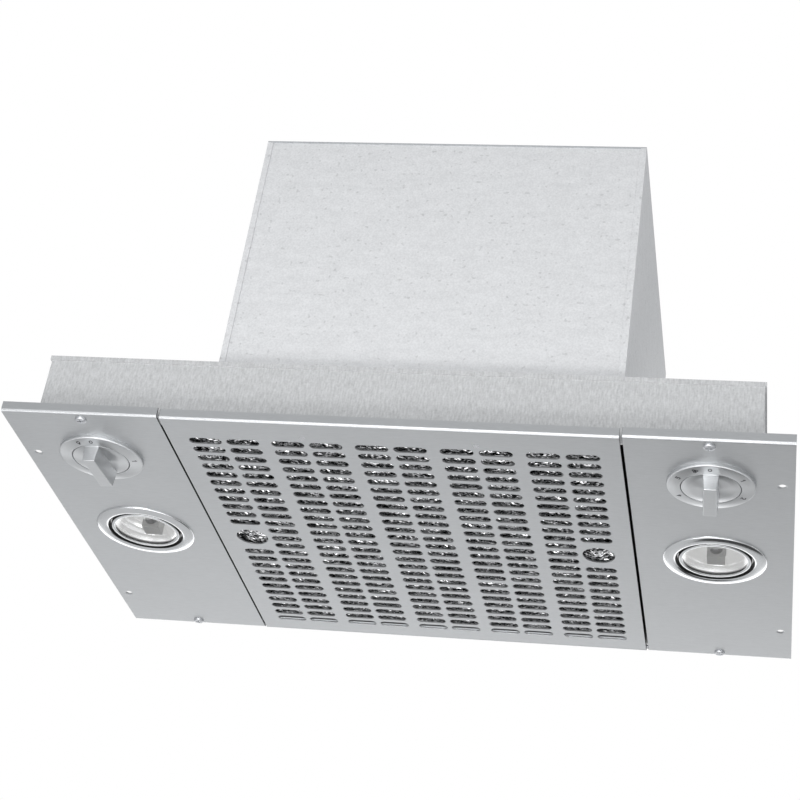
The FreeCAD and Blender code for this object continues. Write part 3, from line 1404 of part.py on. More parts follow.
def filter_mesh():
    """The pad of expanded foil in the frame, drawn as one sheet with staggered diamond gaps."""
    rows, columns = int(value("mesh_gap_rows")), int(value("mesh_gap_columns"))
    web = value("mesh_web")
    inset = value("filter_sheet") + 0.3
    half = value("filter_width") / 2 - inset
    front, rear = value("filter_front_y") + inset, value("filter_rear_y") - inset
    low = value("grille_top_z") + value("mesh_lift")
    high = value("filter_top_z") - value("filter_sheet") - 0.2
    rail = value("filter_rail")
    clear_x, clear_front, clear_rear = half - rail, front + rail, rear - rail
    pitch_x = 2 * clear_x / columns
    pitch_y = (clear_rear - clear_front) / rows

    def loop(points):
        """A closed flat wire through the points."""
        return Part.makePolygon([spot(px, py, low) for px, py in points + points[:1]])

    rim = loop([(-half, front), (half, front), (half, rear), (-half, rear)])
    gaps = []
    dx, dy = (pitch_x - web) / 2, (pitch_y - web) / 2
    for row in range(2 * rows - 1):
        for column in range(row % 2, 2 * columns - 1, 2):
            x = -clear_x + (column + 1) * pitch_x / 2
            y = clear_front + (row + 1) * pitch_y / 2
            gaps.append(loop([(x - dx, y), (x, y + dy), (x + dx, y), (x, y - dy)]))
    sheet = Part.Face([rim] + gaps)
    sheet.validate()
    return shaped("filter_mesh", sheet.extrude(spot(0, 0, high - low)))


def filter_clip(side):
    """A turn clip that holds the filter's front edge down on the grille."""
    name = f"filter_clip_{side}"
    x = f"{side_sign(side)} * clip_shift"
    half = "clip_wide / 2"
    arm = slab(f"{name}_arm", (f"{x} - {half}", f"{x} + {half}"),
               (f"rivet_y - {half}", "rivet_y + clip_long - clip_wide"),
               ("clip_z", "clip_z + clip_sheet"))
    hole = rod(f"{name}_hole", (x, "rivet_y", "clip_z - 1"), "rivet_radius + hinge_clearance",
               "clip_sheet + 2")
    return cut(name, arm, [hole])


def clip_rivets():
    """The two shouldered rivets that the turn clips swing on."""
    rivets = []
    for side in ("left", "right"):
        x = f"{side_sign(side)} * clip_shift"
        stem = rod(f"rivet_{side}_stem", (x, "rivet_y", "grille_under_z"), "rivet_radius",
                   "clip_z + clip_sheet + 0.2 - grille_under_z")
        shoulder = rod(f"rivet_{side}_shoulder", (x, "rivet_y", "grille_top_z"), "rivet_head - 0.6",
                       "clip_z - 0.1 - grille_top_z")
        head = rod(f"rivet_{side}_head", (x, "rivet_y", "clip_z + clip_sheet + 0.1"), "rivet_head", "1")
        rivets.append(fuse(f"rivet_{side}", [stem, shoulder, head]))
    return group("clip_rivets", rivets)


# ---------------------------------------------------------------- wiring compartment

def wiring_box():
    """The wiring compartment under the deck: a tray with one side open to the grille."""
    sheet = "wiring_sheet"
    x, y = ("wiring_x", "wiring_x + wiring_wide"), ("wiring_y", "wiring_y + wiring_long")
    outer = slab("wiring_outer", x, y, ("wiring_floor", "deck_z"))
    inner = slab("wiring_inner", (f"{x[0]} + {sheet}", f"{x[1]} + 1"),
                 (f"{y[0]} + {sheet}", f"{y[1]} - {sheet}"),
                 (f"wiring_floor + {sheet}", "deck_z + 1"))
    return cut("wiring_box", outer, [inner])


def wiring_box_cover():
    """The flat cover over the compartment's open side."""
    return slab("wiring_box_cover", ("wiring_x + wiring_wide", "wiring_x + wiring_wide + wiring_sheet"),
                ("wiring_y", "wiring_y + wiring_long"), ("wiring_floor", "deck_z"))


def cable_bushing():
    """The snap bushing in the deck that the house cable comes in through."""
    outer = "cable_hole - 0.05"
    corners = [("cable_bore", "0"), (outer, "0"), (outer, "5 + rim_sheet"),
               ("bushing_flange", "5 + rim_sheet"), ("bushing_flange", "5 + rim_sheet + bushing_lip"),
               ("cable_bore", "5 + rim_sheet + bushing_lip")]
    return lathe("cable_bushing", corners, ("cable_x", "cable_y", "deck_z - 5"))


# ---------------------------------------------------------------- fasteners

def face_screw_places():
    """The four screws that hold the side panels to the rim's ears."""
    return [(side, end, f"{side_sign(side)} * column_x", f"{end}_screw_y")
            for side in ("left", "right") for end in ("front", "rear")]


def face_screws():
    """Cross-slotted screws with domed heads under the panels."""
    screws = []
    for side, end, x, y in face_screw_places():
        name = f"face_screw_{side}_{end}"
        shank = rod(f"{name}_shank", (x, y, "under_z - 0.2"), "screw_radius",
                    "screw_above_face + face_sheet")
        blank = rod(f"{name}_blank", (x, y, "under_z - screw_head_height"), "screw_head_radius",
                    "screw_head_height")
        low = value("under_z") - value("screw_head_height")
        head = round_edges(f"{name}_head", blank, 0.8 * value("screw_head_height"),
                           lambda edge: len(edge.Vertexes) == 1 and abs(edge.Vertexes[0].Z - low) < 1e-4)
        arm, slim = "0.6 * screw_head_radius", "0.45"
        deep = ("under_z - screw_head_height - 1", "under_z - screw_head_height + 0.8")
        bars = []
        for way, reach_x, reach_y in (("x", arm, slim), ("y", slim, arm)):
            bars.append(slab(f"{name}_slot_{way}", (f"{x} - {reach_x}", f"{x} + {reach_x}"),
                             (f"{y} - {reach_y}", f"{y} + {reach_y}"), deep))
        screws.append(cut(name, fuse(f"{name}_solid", [shank, head]), bars))
    return group("face_screws", screws)


def clip_nuts():
    """The spring nuts on the rim's ears that the face screws drive into."""
    nuts = []
    for side, end, x, y in face_screw_places():
        name = f"clip_nut_{side}_{end}"
        blank = slab(f"{name}_blank", (f"{x} - clip_nut_long / 2", f"{x} + clip_nut_long / 2"),
                     (f"{y} - clip_nut_wide / 2", f"{y} + clip_nut_wide / 2"),
                     ("rim_sheet", "rim_sheet + clip_nut_sheet"))
        hole = rod(f"{name}_hole", (x, y, "0"), "screw_radius + 0.03", "rim_sheet + clip_nut_sheet + 1")
        nuts.append(cut(name, blank, [hole]))
    return group("clip_nuts", nuts)


def sheet_metal_screws():
    """Hex-headed screws: four through the collar's flange and three in the bracket's feet."""
    screws = []
    for index, (x, y) in enumerate(collar_screw_places()):
        shank = rod(f"collar_screw_shank_{index}", (x, y, "housing_roof_z - 4"), "screw_radius",
                    "housing_sheet + 4 + collar_flange_sheet + hex_height / 2")
        head = hexagon(f"collar_screw_head_{index}", (x, y, "housing_height + collar_flange_sheet"),
                       "hex_radius", "hex_height")
        screws.append(fuse(f"collar_screw_{index}", [shank, head]))
    wall = "scroll_right_x + scroll_sheet + bracket_sheet"
    for index, (y, z) in enumerate(bracket_foot_places()):
        shank = rod(f"foot_screw_shank_{index}", (f"{wall} - bracket_sheet - 4", y, z), "screw_radius",
                    "bracket_sheet + 4 + hex_height / 2", "right")
        head = hexagon(f"foot_screw_head_{index}", (wall, y, z), "hex_radius", "hex_height", "right")
        screws.append(fuse(f"foot_screw_{index}", [shank, head]))
    return group("sheet_metal_screws", screws)


# ---------------------------------------------------------------- the whole insert

def build_all():
    """Every node's name and object."""
    nodes = {
        "rim_frame": rim_frame(),
        "housing_frame": housing_frame(),
        "housing_wrap": housing_wrap(),
        "housing_front": housing_front(),
        "housing_top": housing_top(),
        "duct_collar": duct_collar(),
        "collar_flange": collar_flange(),
        "damper_rod": damper_rod(),
        "scroll_wrap": scroll_wrap(),
        "wheel_blades": wheel_blades(),
        "wheel_rings": wheel_rings(),
        "wheel_hub": wheel_hub(),
        "motor_bracket": motor_bracket(),
        "motor_stator": motor_stator(),
        "motor_rotor": motor_rotor(),
        "motor_shaft": motor_shaft(),
        "motor_bearings": motor_bearings(),
        "motor_bolts": motor_bolts(),
        "grille_panel": grille_panel(),
        "hinge_rod": hinge_rod(),
        "filter_frame": filter_frame(),
        "filter_mesh": filter_mesh(),
        "clip_rivets": clip_rivets(),
        "switch_nuts": switch_nuts(),
        "wiring_box": wiring_box(),
        "wiring_box_cover": wiring_box_cover(),
        "cable_bushing": cable_bushing(),
        "face_screws": face_screws(),
        "clip_nuts": clip_nuts(),
        "sheet_metal_screws": sheet_metal_screws(),
    }
    for end in ("front", "rear"):
        nodes[f"damper_flap_{end}"] = damper_flap(end)
    for end in ("inner", "outer"):
        nodes[f"motor_bell_{end}"] = motor_bell(end)
    for control in CONTROLS:
        nodes[f"{control}_switch"] = switch(control)
        nodes[f"{control}_shaft"] = switch_shaft(control)
        nodes[f"{control}_dial"] = dial(control)
        nodes[f"{control}_knob"] = knob(control)
    pairs = {"grille_catches": grille_catch, "lamp_reflectors": lamp_reflector,
             "lamp_sockets": lamp_socket, "lamp_bulbs": lamp_bulb}
    for name, piece in pairs.items():
        nodes[name] = group(name, [piece("left"), piece("right")])
    for side in ("left", "right"):
        nodes[f"{side}_face_panel"] = face_panel(side)
        nodes[f"{side}_deck"] = side_deck(side)
        nodes[f"scroll_side_{side}"] = scroll_side(side)
        nodes[f"filter_clip_{side}"] = filter_clip(side)
        nodes[f"lamp_trim_{side}"] = lamp_trim(side)
        nodes[f"lens_ring_{side}"] = lens_ring(side)
        nodes[f"lamp_lens_{side}"] = lamp_lens(side)
    return nodes


def check_and_write(nodes):
    """Stops on any failed object or bad solid, then writes one file for each node."""
    doc.recompute()
    for item in doc.Objects:
        if "Invalid" in item.State or "Error" in item.State:
            raise ValueError(f"{item.Label} is {item.State}")
    for label, piece in nodes.items():
        piece.Label = label
        shape = piece.Shape
        if shape.isNull() or not shape.isValid() or not shape.Solids:
            raise ValueError(f"{label} has no sound solid")
    os.makedirs("parts", exist_ok=True)
    for label, piece in nodes.items():
        piece.Shape.exportStep(f"parts/{label}.step")
    print(len(nodes), "nodes,", sum(len(piece.Shape.Solids) for piece in nodes.values()), "solids")


check_and_write(build_all())
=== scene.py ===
import math

import bpy
import numpy as np
from mathutils import Matrix, Vector


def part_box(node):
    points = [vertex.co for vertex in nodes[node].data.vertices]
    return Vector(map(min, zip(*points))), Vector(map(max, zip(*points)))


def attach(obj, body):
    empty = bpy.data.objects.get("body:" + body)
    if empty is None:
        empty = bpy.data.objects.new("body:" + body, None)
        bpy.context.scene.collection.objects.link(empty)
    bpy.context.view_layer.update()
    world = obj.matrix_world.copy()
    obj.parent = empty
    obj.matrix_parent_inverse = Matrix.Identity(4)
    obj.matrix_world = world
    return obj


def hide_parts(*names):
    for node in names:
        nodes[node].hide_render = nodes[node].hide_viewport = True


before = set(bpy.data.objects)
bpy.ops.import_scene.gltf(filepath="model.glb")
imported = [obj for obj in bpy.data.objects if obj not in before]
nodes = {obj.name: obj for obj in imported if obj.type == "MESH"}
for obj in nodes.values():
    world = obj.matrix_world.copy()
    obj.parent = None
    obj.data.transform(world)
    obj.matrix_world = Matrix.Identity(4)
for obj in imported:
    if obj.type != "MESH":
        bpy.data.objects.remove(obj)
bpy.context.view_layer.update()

# ---------------------------------------------------------------------------------------------
# Face: two side panels and the slotted grille, 1 mm satin stainless sheet with a fine even grain.
# The front edge is turned up round a small bend that catches the light as a bright line.
# ---------------------------------------------------------------------------------------------

MM = 0.001
SEAM_X = 158.1 * MM
SEAM_HALF = 1.0 * MM


def effect_group(name, inputs, outputs):
    """An empty shader node group with its named value inputs (and defaults) and outputs."""
    tree = bpy.data.node_groups.new(name, "ShaderNodeTree")
    for label, default in inputs.items():
        kind = "NodeSocketColor" if isinstance(default, tuple) else "NodeSocketFloat"
        tree.interface.new_socket(name=label, in_out="INPUT", socket_type=kind).default_value = default
    for label, kind in outputs.items():
        tree.interface.new_socket(name=label, in_out="OUTPUT", socket_type=kind)
    return tree, tree.nodes.new("NodeGroupInput"), tree.nodes.new("NodeGroupOutput")


def node(tree, kind, settings=None, **inputs):
    """A shader node with its settings; an input is given a value, or another node's output socket."""
    made = tree.nodes.new(kind)
    for key, setting in (settings or {}).items():
        setattr(made, key, setting)
    for label, given in inputs.items():
        socket = made.inputs[int(label[1:])] if label[0] == "_" else made.inputs[label.replace("_", " ")]
        if isinstance(given, bpy.types.NodeSocket):
            tree.links.new(given, socket)
        else:
            socket.default_value = given
    return made


def stretched(tree, x, y, z):
    """Object coordinates multiplied along each axis, for grain that runs one way."""
    place = tree.nodes.new("ShaderNodeTexCoord")
    return node(tree, "ShaderNodeMapping", _0=place.outputs["Object"], Scale=(x, y, z)).outputs[0]


def noise(tree, vector, scale, detail=2.0):
    """The value of a noise texture, about 0.5 on average."""
    made = node(tree, "ShaderNodeTexNoise", Vector=vector, Scale=scale, Detail=detail)
    return made.outputs[0]


def calc(tree, operation, first, second=0.0, third=0.0):
    """One step of arithmetic."""
    return node(tree, "ShaderNodeMath", {"operation": operation}, _0=first, _1=second, _2=third).outputs[0]


def remap(tree, value, low, high, out_low, out_high):
    """A value moved from one range to another and held inside it."""
    made = node(tree, "ShaderNodeMapRange", Value=value, From_Min=low, From_Max=high,
                To_Min=out_low, To_Max=out_high)
    return made.outputs[0]


def tinted(tree, colour, tone):
    """A colour multiplied by a tone."""
    return node(tree, "ShaderNodeVectorMath", {"operation": "SCALE"}, _0=colour, Scale=tone).outputs[0]


def satin_group():
    """Fine grain along X: a slight tone, a change of roughness and a height for the bump. Painted shade:
    the strip along each seam between the grille and a side panel is darkened almost to black in the colour."""
    tree, given, out = effect_group(
        "satin_grain_and_seam_shade", {"Colour": (0.6, 0.6, 0.6, 1.0), "Roughness": 0.4, "Depth": 0.06},
        {"Colour": "NodeSocketColor", "Roughness": "NodeSocketFloat", "Height": "NodeSocketFloat"})
    grain = noise(tree, stretched(tree, 160.0, 1400.0, 1400.0), 1.0, 3.0)
    cloud = noise(tree, stretched(tree, 9.0, 9.0, 9.0), 1.0, 3.0)
    tone = calc(tree, "ADD", remap(tree, grain, 0.3, 0.7, -0.035, 0.035),
                remap(tree, cloud, 0.3, 0.7, 0.975, 1.025))
    place = node(tree, "ShaderNodeSeparateXYZ", _0=stretched(tree, 1.0, 1.0, 1.0)).outputs[0]
    # Painted shade: within about 1 mm of each seam at x = ±158.1 mm the colour falls to 0.06 of its tone.
    off_seam = calc(tree, "ABSOLUTE", calc(tree, "SUBTRACT", calc(tree, "ABSOLUTE", place), SEAM_X))
    shade = remap(tree, off_seam, 0.98 * SEAM_HALF, 1.02 * SEAM_HALF, 0.06, 1.0)
    tone = calc(tree, "MULTIPLY", tone, shade)
    tree.links.new(tinted(tree, given.outputs["Colour"], tone), out.inputs["Colour"])
    tree.links.new(calc(tree, "MULTIPLY_ADD", cloud, given.outputs["Depth"], given.outputs["Roughness"]),
                   out.inputs["Roughness"])
    tree.links.new(grain, out.inputs["Height"])
    return tree


def finish_of(name, colour, roughness, metallic=0.0, effect=None, bump=0.0, depth=0.06, **extra):
    """A Principled material; an effect group, where given, feeds its colour, roughness and bump."""
    made = bpy.data.materials.new(name)
    made.use_nodes = True
    tree = made.node_tree
    shader = tree.nodes["Principled BSDF"]
    shader.inputs["Base Color"].default_value = (*colour, 1.0)
    shader.inputs["Roughness"].default_value = roughness
    shader.inputs["Metallic"].default_value = metallic
    for label, value in extra.items():
        shader.inputs[label.replace("_", " ")].default_value = value
    if effect is not None:
        group = tree.nodes.new("ShaderNodeGroup")
        group.node_tree = effect
        group.inputs["Colour"].default_value = (*colour, 1.0)
        group.inputs["Roughness"].default_value = roughness
        if "Depth" in group.inputs:
            group.inputs["Depth"].default_value = depth
        tree.links.new(group.outputs["Colour"], shader.inputs["Base Color"])
        tree.links.new(group.outputs["Roughness"], shader.inputs["Roughness"])
        if bump:
            relief = node(tree, "ShaderNodeBump", Height=group.outputs["Height"], Strength=bump,
                          Distance=0.2 * MM)
            tree.links.new(relief.outputs[0], shader.inputs["Normal"])
    return made


def dress(material, *names):
    """Gives CAD nodes their material."""
    for name in names:
        nodes[name].data.materials.clear()
        nodes[name].data.materials.append(material)


satin = satin_group()
stainless = finish_of("satin_stainless", (0.56, 0.57, 0.58), 0.42, 1.0, satin, bump=0.12)
dress(stainless, "left_face_panel", "right_face_panel", "grille_panel", "filter_clip_left",
      "filter_clip_right")

# ---------------------------------------------------------------------------------------------
# Rim, deck and housing: 1 mm galvanised sheet, folded and spot welded.
# The rim shows a fine upright grain, the housing a pale spangle with dark specks and faint streaks.
# ---------------------------------------------------------------------------------------------

HEM_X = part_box("housing_front")[1].x - 4.0 * MM


def galvanised_group():
    """Zinc spangle: cells of slightly different tone, fine grain, streaks one way and dark specks. Upright
    turns the streaks into fine upright grain, and the hem setting paints a dotted line of shade down the
    housing along the hem's fold."""
    tree, given, out = effect_group(
        "galvanised",
        {"Colour": (0.7, 0.7, 0.7, 1.0), "Roughness": 0.45, "Depth": 0.1, "Upright": 0.0, "Specks": 0.05,
         "Hem_shade": 0.0},
        {"Colour": "NodeSocketColor", "Roughness": "NodeSocketFloat", "Height": "NodeSocketFloat"})
    cells = node(tree, "ShaderNodeTexVoronoi", Vector=stretched(tree, 1.0, 1.0, 1.0), Scale=240.0)
    cell = node(tree, "ShaderNodeSeparateColor", _0=cells.outputs["Color"]).outputs[0]
    fine = noise(tree, stretched(tree, 1.0, 1.0, 1.0), 700.0, 2.0)
    level = noise(tree, stretched(tree, 45.0, 45.0, 160.0), 1.0, 3.0)
    upright = noise(tree, stretched(tree, 760.0, 760.0, 170.0), 1.0, 1.0)
    streak = node(tree, "ShaderNodeMix", {"data_type": "FLOAT"}, Factor=given.outputs["Upright"],
                  _2=remap(tree, level, 0.3, 0.7, -0.03, 0.03),
                  _3=remap(tree, upright, 0.3, 0.7, -0.1, 0.1)).outputs[0]
    spots = noise(tree, stretched(tree, 1.0, 1.0, 1.0), 330.0, 0.0)
    speck = remap(tree, spots, 0.72, 0.80, 0.0, given.outputs["Specks"])
    tone = calc(tree, "ADD", remap(tree, cell, 0.0, 1.0, -0.018, 0.018),
                remap(tree, fine, 0.3, 0.7, 0.93, 1.06))
    tone = calc(tree, "SUBTRACT", calc(tree, "ADD", tone, streak), speck)
    place = node(tree, "ShaderNodeSeparateXYZ", _0=stretched(tree, 1.0, 1.0, 1.0)).outputs[0]
    # Painted shade: a dotted line, up to 0.09 darker, within 0.6 mm of the hem's fold.
    off_hem = calc(tree, "ABSOLUTE", calc(tree, "SUBTRACT", place, HEM_X))
    dots = remap(tree, noise(tree, stretched(tree, 1.0, 1.0, 420.0), 1.0, 0.0), 0.4, 0.6, 0.3, 1.0)
    hem_shade = calc(tree, "MULTIPLY", remap(tree, off_hem, 0.0002, 0.0006, 0.09, 0.0), dots)
    tone = calc(tree, "SUBTRACT", tone, calc(tree, "MULTIPLY", hem_shade, given.outputs["Hem_shade"]))
    tree.links.new(tinted(tree, given.outputs["Colour"], tone), out.inputs["Colour"])
    tree.links.new(calc(tree, "MULTIPLY_ADD", cell, given.outputs["Depth"], given.outputs["Roughness"]),
                   out.inputs["Roughness"])
    tree.links.new(calc(tree, "ADD", fine, streak), out.inputs["Height"])
    return tree


zinc_sheet = galvanised_group()
rim_zinc = finish_of("rim_zinc", (0.58, 0.585, 0.59), 0.5, 0.25, zinc_sheet, bump=0.35)
rim_zinc.node_tree.nodes["Group"].inputs["Upright"].default_value = 1.0
housing_zinc = finish_of("housing_zinc", (0.715, 0.72, 0.73), 0.5, 0.15, zinc_sheet, bump=0.2)
housing_zinc.node_tree.nodes["Group"].inputs["Specks"].default_value = 0.16
housing_zinc.node_tree.nodes["Group"].inputs["Hem_shade"].default_value = 1.0
inner_zinc = finish_of("inner_zinc", (0.62, 0.625, 0.63), 0.42, 0.6, zinc_sheet, bump=0.15)
dress(rim_zinc, "rim_frame", "left_deck", "right_deck", "housing_frame")
# Painted shade: the housing's top wears a much darker copy of the galvanised finish.
shaded_top_zinc = finish_of("shaded_edge_zinc", (0.47, 0.485, 0.50), 0.5, 0.25, zinc_sheet, bump=0.2)
dress(housing_zinc, "housing_wrap", "housing_front")
dress(shaded_top_zinc, "housing_top")
dress(inner_zinc, "duct_collar", "collar_flange", "scroll_wrap", "scroll_side_left", "scroll_side_right",
      "wheel_blades", "wheel_rings", "wheel_hub", "wiring_box", "wiring_box_cover")

# ---------------------------------------------------------------------------------------------
# Filter: layers of expanded aluminium foil in a folded aluminium channel.
# Each layer is a net of thin twisted strands, so it shows as bright flecks over dark gaps.
# ---------------------------------------------------------------------------------------------


def mesh_object(name, points, faces, body, material, smooth=None):
    """A mesh that rides on a body. Points and faces are whole arrays, and smooth is the angle in degrees
    from which an edge stays sharp."""
    data = bpy.data.meshes.new(name)
    corners = faces.tolist() if isinstance(faces, np.ndarray) else faces
    data.from_pydata(points.reshape(-1, 3).tolist(), [], corners)
    data.validate()
    data.materials.append(material)
    if smooth is not None:
        data.polygons.foreach_set("use_smooth", np.ones(len(data.polygons), bool))
        data.set_sharp_from_angle(angle=math.radians(smooth))
    made = bpy.data.objects.new(name, data)
    bpy.context.scene.collection.objects.link(made)
    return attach(made, body)


FOIL_LAYERS = 3
FOIL_SEED = 5
STRAND_LONG = 4.2 * MM
STRAND_SHORT = 2.8 * MM
STRAND_HALF = 0.42 * MM
NODE_SCATTER = np.array([0.35, 0.3, 0.35]) * MM
WAVE_HEIGHT = 0.45 * MM


def foil_layers(low, high, front, rear, half, layers, seed):
    """Expanded foil. Nodes stand on a staggered lattice, moved a little at random and up and down by
    slow waves; each strand is a flat strip between two nodes, turned about its own length at random."""
    rng = np.random.default_rng(seed)
    columns, rows = int(2 * half / STRAND_LONG), int(2 * (rear - front) / STRAND_SHORT)
    quads = []
    for layer in range(layers):
        column, row = np.meshgrid(np.arange(columns + 1), np.arange(rows + 1), indexing="ij")
        x = -half + (column + 0.5 * (row % 2)) * (2 * half) / (columns + 0.5)
        y = front + row * (rear - front) / rows
        wave = np.sin(x * 170 + layer * 2.1) * np.cos(y * 140 + layer * 1.3)
        z = low + (layer + 0.5) * (high - low) / layers + WAVE_HEIGHT * wave
        place = np.stack([x, y, z], -1) + rng.normal(0, 1, (*x.shape, 3)) * NODE_SCATTER
        place[..., 0] = np.clip(place[..., 0], -half, half)
        place[..., 1] = np.clip(place[..., 1], front, rear)
        odd = row[:, :-1] % 2
        for side in (0, 1):
            reach = column[:, :-1] + np.where(odd == 1, side, side - 1)
            keep = (reach >= 0) & (reach <= columns)
            start = place[:, :-1][keep]
            end = place[reach[keep], row[:, :-1][keep] + 1]
            way = end - start
            way /= np.linalg.norm(way, axis=1, keepdims=True)
            flat = np.cross(way, [0, 0, 1.0])
            up = np.cross(flat, way)
            turn = (np.sign(way[:, 0]) * rng.normal(1.0, 0.35, len(way)))[:, None]
            thick = STRAND_HALF * rng.uniform(0.7, 1.25, (len(way), 1))
            across = (np.cos(turn) * flat + np.sin(turn) * up) * thick
            quads.append(np.stack([start - across, start + across, end + across, end - across], 1))
    points = np.concatenate(quads)
    return points, np.arange(points.shape[0] * 4).reshape(-1, 4)


filter_low, filter_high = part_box("filter_mesh")


def depth_shade_group():
    """Painted shade: strands near the grille are bright and darken to near black away from it."""
    tree, given, out = effect_group(
        "foil_depth_shade", {"Colour": (0.9, 0.9, 0.9, 1.0), "Roughness": 0.25},
        {"Colour": "NodeSocketColor", "Roughness": "NodeSocketFloat"})
    place = tree.nodes.new("ShaderNodeTexCoord")
    height = node(tree, "ShaderNodeSeparateXYZ", _0=place.outputs["Object"]).outputs[2]
    # Painted shade: the colour falls from full at 0.7 mm above the foil's bottom to 0.005 at 2.0 mm.
    tone = remap(tree, height, filter_low.z + 0.7 * MM, filter_low.z + 2.0 * MM, 1.0, 0.005)
    tree.links.new(tinted(tree, given.outputs["Colour"], tone), out.inputs["Colour"])
    tree.links.new(given.outputs["Roughness"], out.inputs["Roughness"])
    return tree


foil_metal = finish_of("foil", (0.74, 0.74, 0.75), 0.27, 1.0, depth_shade_group())
foil_points, foil_faces = foil_layers(filter_low.z, filter_high.z - 0.5 * MM, filter_low.y, filter_high.y,
                                      filter_high.x, FOIL_LAYERS, FOIL_SEED)
foil = mesh_object("foil_net", foil_points, foil_faces, "grille", foil_metal)
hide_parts("filter_mesh")
channel = finish_of("filter_channel", (0.72, 0.73, 0.74), 0.38, 1.0, satin, bump=0.1)
dress(channel, "filter_frame", "damper_flap_front", "damper_flap_rear")

# ---------------------------------------------------------------------------------------------
# Controls: turned metal dial rings fixed to the panels, and hollow knobs with a tapered grip bar.
# The lathe left fine rings round each centre, so their faces show light and dark sectors. The dials
# carry dark printed marks: plain numbers, three blades for the fan and a bulb for the lamps.
# ---------------------------------------------------------------------------------------------


def turned_grid(profile, centre, around):
    """A surface of revolution: a profile of (radius, height) carried round an upright axis."""
    turn = np.linspace(0, 2 * math.pi, around, endpoint=False)
    radius, height = np.asarray(profile, float).T
    return np.stack([np.outer(np.cos(turn), radius) + centre[0], np.outer(np.sin(turn), radius) + centre[1],
                     np.broadcast_to(height, (len(turn), len(height))) + centre[2]], -1)


def grid_faces(rows, columns, wrap_rows, wrap_columns, first=0):
    """The four-cornered faces of a grid of points, by index arithmetic."""
    i, j = np.meshgrid(np.arange(rows if wrap_rows else rows - 1),
                       np.arange(columns if wrap_columns else columns - 1), indexing="ij")
    after_i, after_j = (i + 1) % rows, (j + 1) % columns
    corners = [i * columns + j, after_i * columns + j, after_i * columns + after_j, i * columns + after_j]
    return first + np.stack(corners, -1).reshape(-1, 4)


def joined(*grids):
    """Several surfaces of revolution as one set of points and faces."""
    points, faces, first = [], [], 0
    for grid in grids:
        rows, columns = grid.shape[:2]
        faces.append(grid_faces(rows, columns, True, False, first))
        points.append(grid.reshape(-1, 3))
        first += rows * columns
    return np.concatenate(points), np.concatenate(faces)


def ring_tangent(made, centre):
    """A UV layer for metal turned on a lathe: U is the angle round the centre, V the distance from it."""
    layer = made.data.uv_layers.new(name="around")
    corner = np.empty(len(made.data.loops), int)
    made.data.loops.foreach_get("vertex_index", corner)
    place = np.empty(len(made.data.vertices) * 3)
    made.data.vertices.foreach_get("co", place)
    place = place.reshape(-1, 3)[corner]
    angle = np.arctan2(place[:, 1] - centre[1], place[:, 0] - centre[0])
    per_face = angle.reshape(-1, 4)
    first = per_face[:, :1]
    unrolled = first + (per_face - first + math.pi) % (2 * math.pi) - math.pi
    reach = np.hypot(place[:, 0] - centre[0], place[:, 1] - centre[1])
    layer.data.foreach_set("uv", np.stack([unrolled.ravel() / 6.3 + 0.5, reach * 20], -1).ravel())


def turned_metal(name, colour, roughness, anisotropy):
    """Satin metal whose shine is drawn out along the lathe's rings."""
    made = finish_of(name, colour, roughness, 1.0, Anisotropic=anisotropy)
    tree = made.node_tree
    tangent = node(tree, "ShaderNodeTangent", {"direction_type": "UV_MAP", "uv_map": "around"})
    tree.links.new(tangent.outputs[0], tree.nodes["Principled BSDF"].inputs["Tangent"])
    return made


def rounded_bar(front_width, rear_width, front, rear, corner, count):
    """The outline of a grip at one height: a trapezium with round corners, as count points a corner."""
    corners = [(-front_width / 2, front, 1, 1), (-rear_width / 2, rear, 1, -1),
               (rear_width / 2, rear, -1, -1), (front_width / 2, front, -1, 1)]
    starts = [math.pi * 1.5, math.pi, math.pi * 0.5, 0.0]
    outline = []
    for (x, y, in_x, in_y), begin in zip(corners, starts):
        turn = begin - np.linspace(0, math.pi / 2, count)
        outline.append(np.stack([x + in_x * corner + corner * np.cos(turn),
                                 y + in_y * corner + corner * np.sin(turn)], -1))
    return np.concatenate(outline)


GRIP_FOOT, GRIP_DEPTH, GRIP_EDGE, GRIP_CORNER = 3.2, 14.8, 0.45, 0.5
GRIP_FRONT_WIDTH, GRIP_REAR_WIDTH, GRIP_HALF_LENGTH, GRIP_FLARE = 8.7, 9.1, 18.9, 0.18


def grip_bar(centre, turned):
    """The grip: the round-cornered trapezium outline carried down, its widths falling evenly with
    depth; the last stations draw the outline in along a quarter of a circle, so the edge is soft.
    The outline is turned about the knob's axis by the angle at which the knob was left."""
    spin = np.array([[math.cos(turned), math.sin(turned)], [-math.sin(turned), math.cos(turned)]])
    sides = np.linspace(GRIP_FOOT, GRIP_DEPTH - GRIP_EDGE, 8)
    turn = np.linspace(0.15, math.pi / 2, 6)
    depths = np.concatenate([sides, GRIP_DEPTH - GRIP_EDGE + GRIP_EDGE * np.sin(turn)])
    insets = np.concatenate([np.zeros(len(sides)), GRIP_EDGE - GRIP_EDGE * np.cos(turn)])
    rings = []
    for depth, inset in zip(depths, insets):
        wider = (GRIP_DEPTH - depth) * GRIP_FLARE
        outline = rounded_bar(GRIP_FRONT_WIDTH + wider - 2 * inset, GRIP_REAR_WIDTH + wider - 2 * inset,
                              -GRIP_HALF_LENGTH + inset, GRIP_HALF_LENGTH - inset, GRIP_CORNER, 5)
        rings.append(np.column_stack([outline @ spin * MM + np.array(centre[:2]),
                                      np.full(len(outline), centre[2] - depth * MM)]))
    return np.array(rings)


def ring_of(count, radius, centre, petals=0.0):
    """A closed line round a centre. Its radius is even, or with petals shrinks and grows with the cosine
    of one and a half times the angle, which gives three blades."""
    turn = np.linspace(0, 2 * math.pi, count + 1)
    reach = radius * (1 - petals + petals * np.abs(np.cos(1.5 * turn)))
    return np.stack([centre[0] + reach * np.cos(turn), centre[1] + reach * np.sin(turn)], -1)


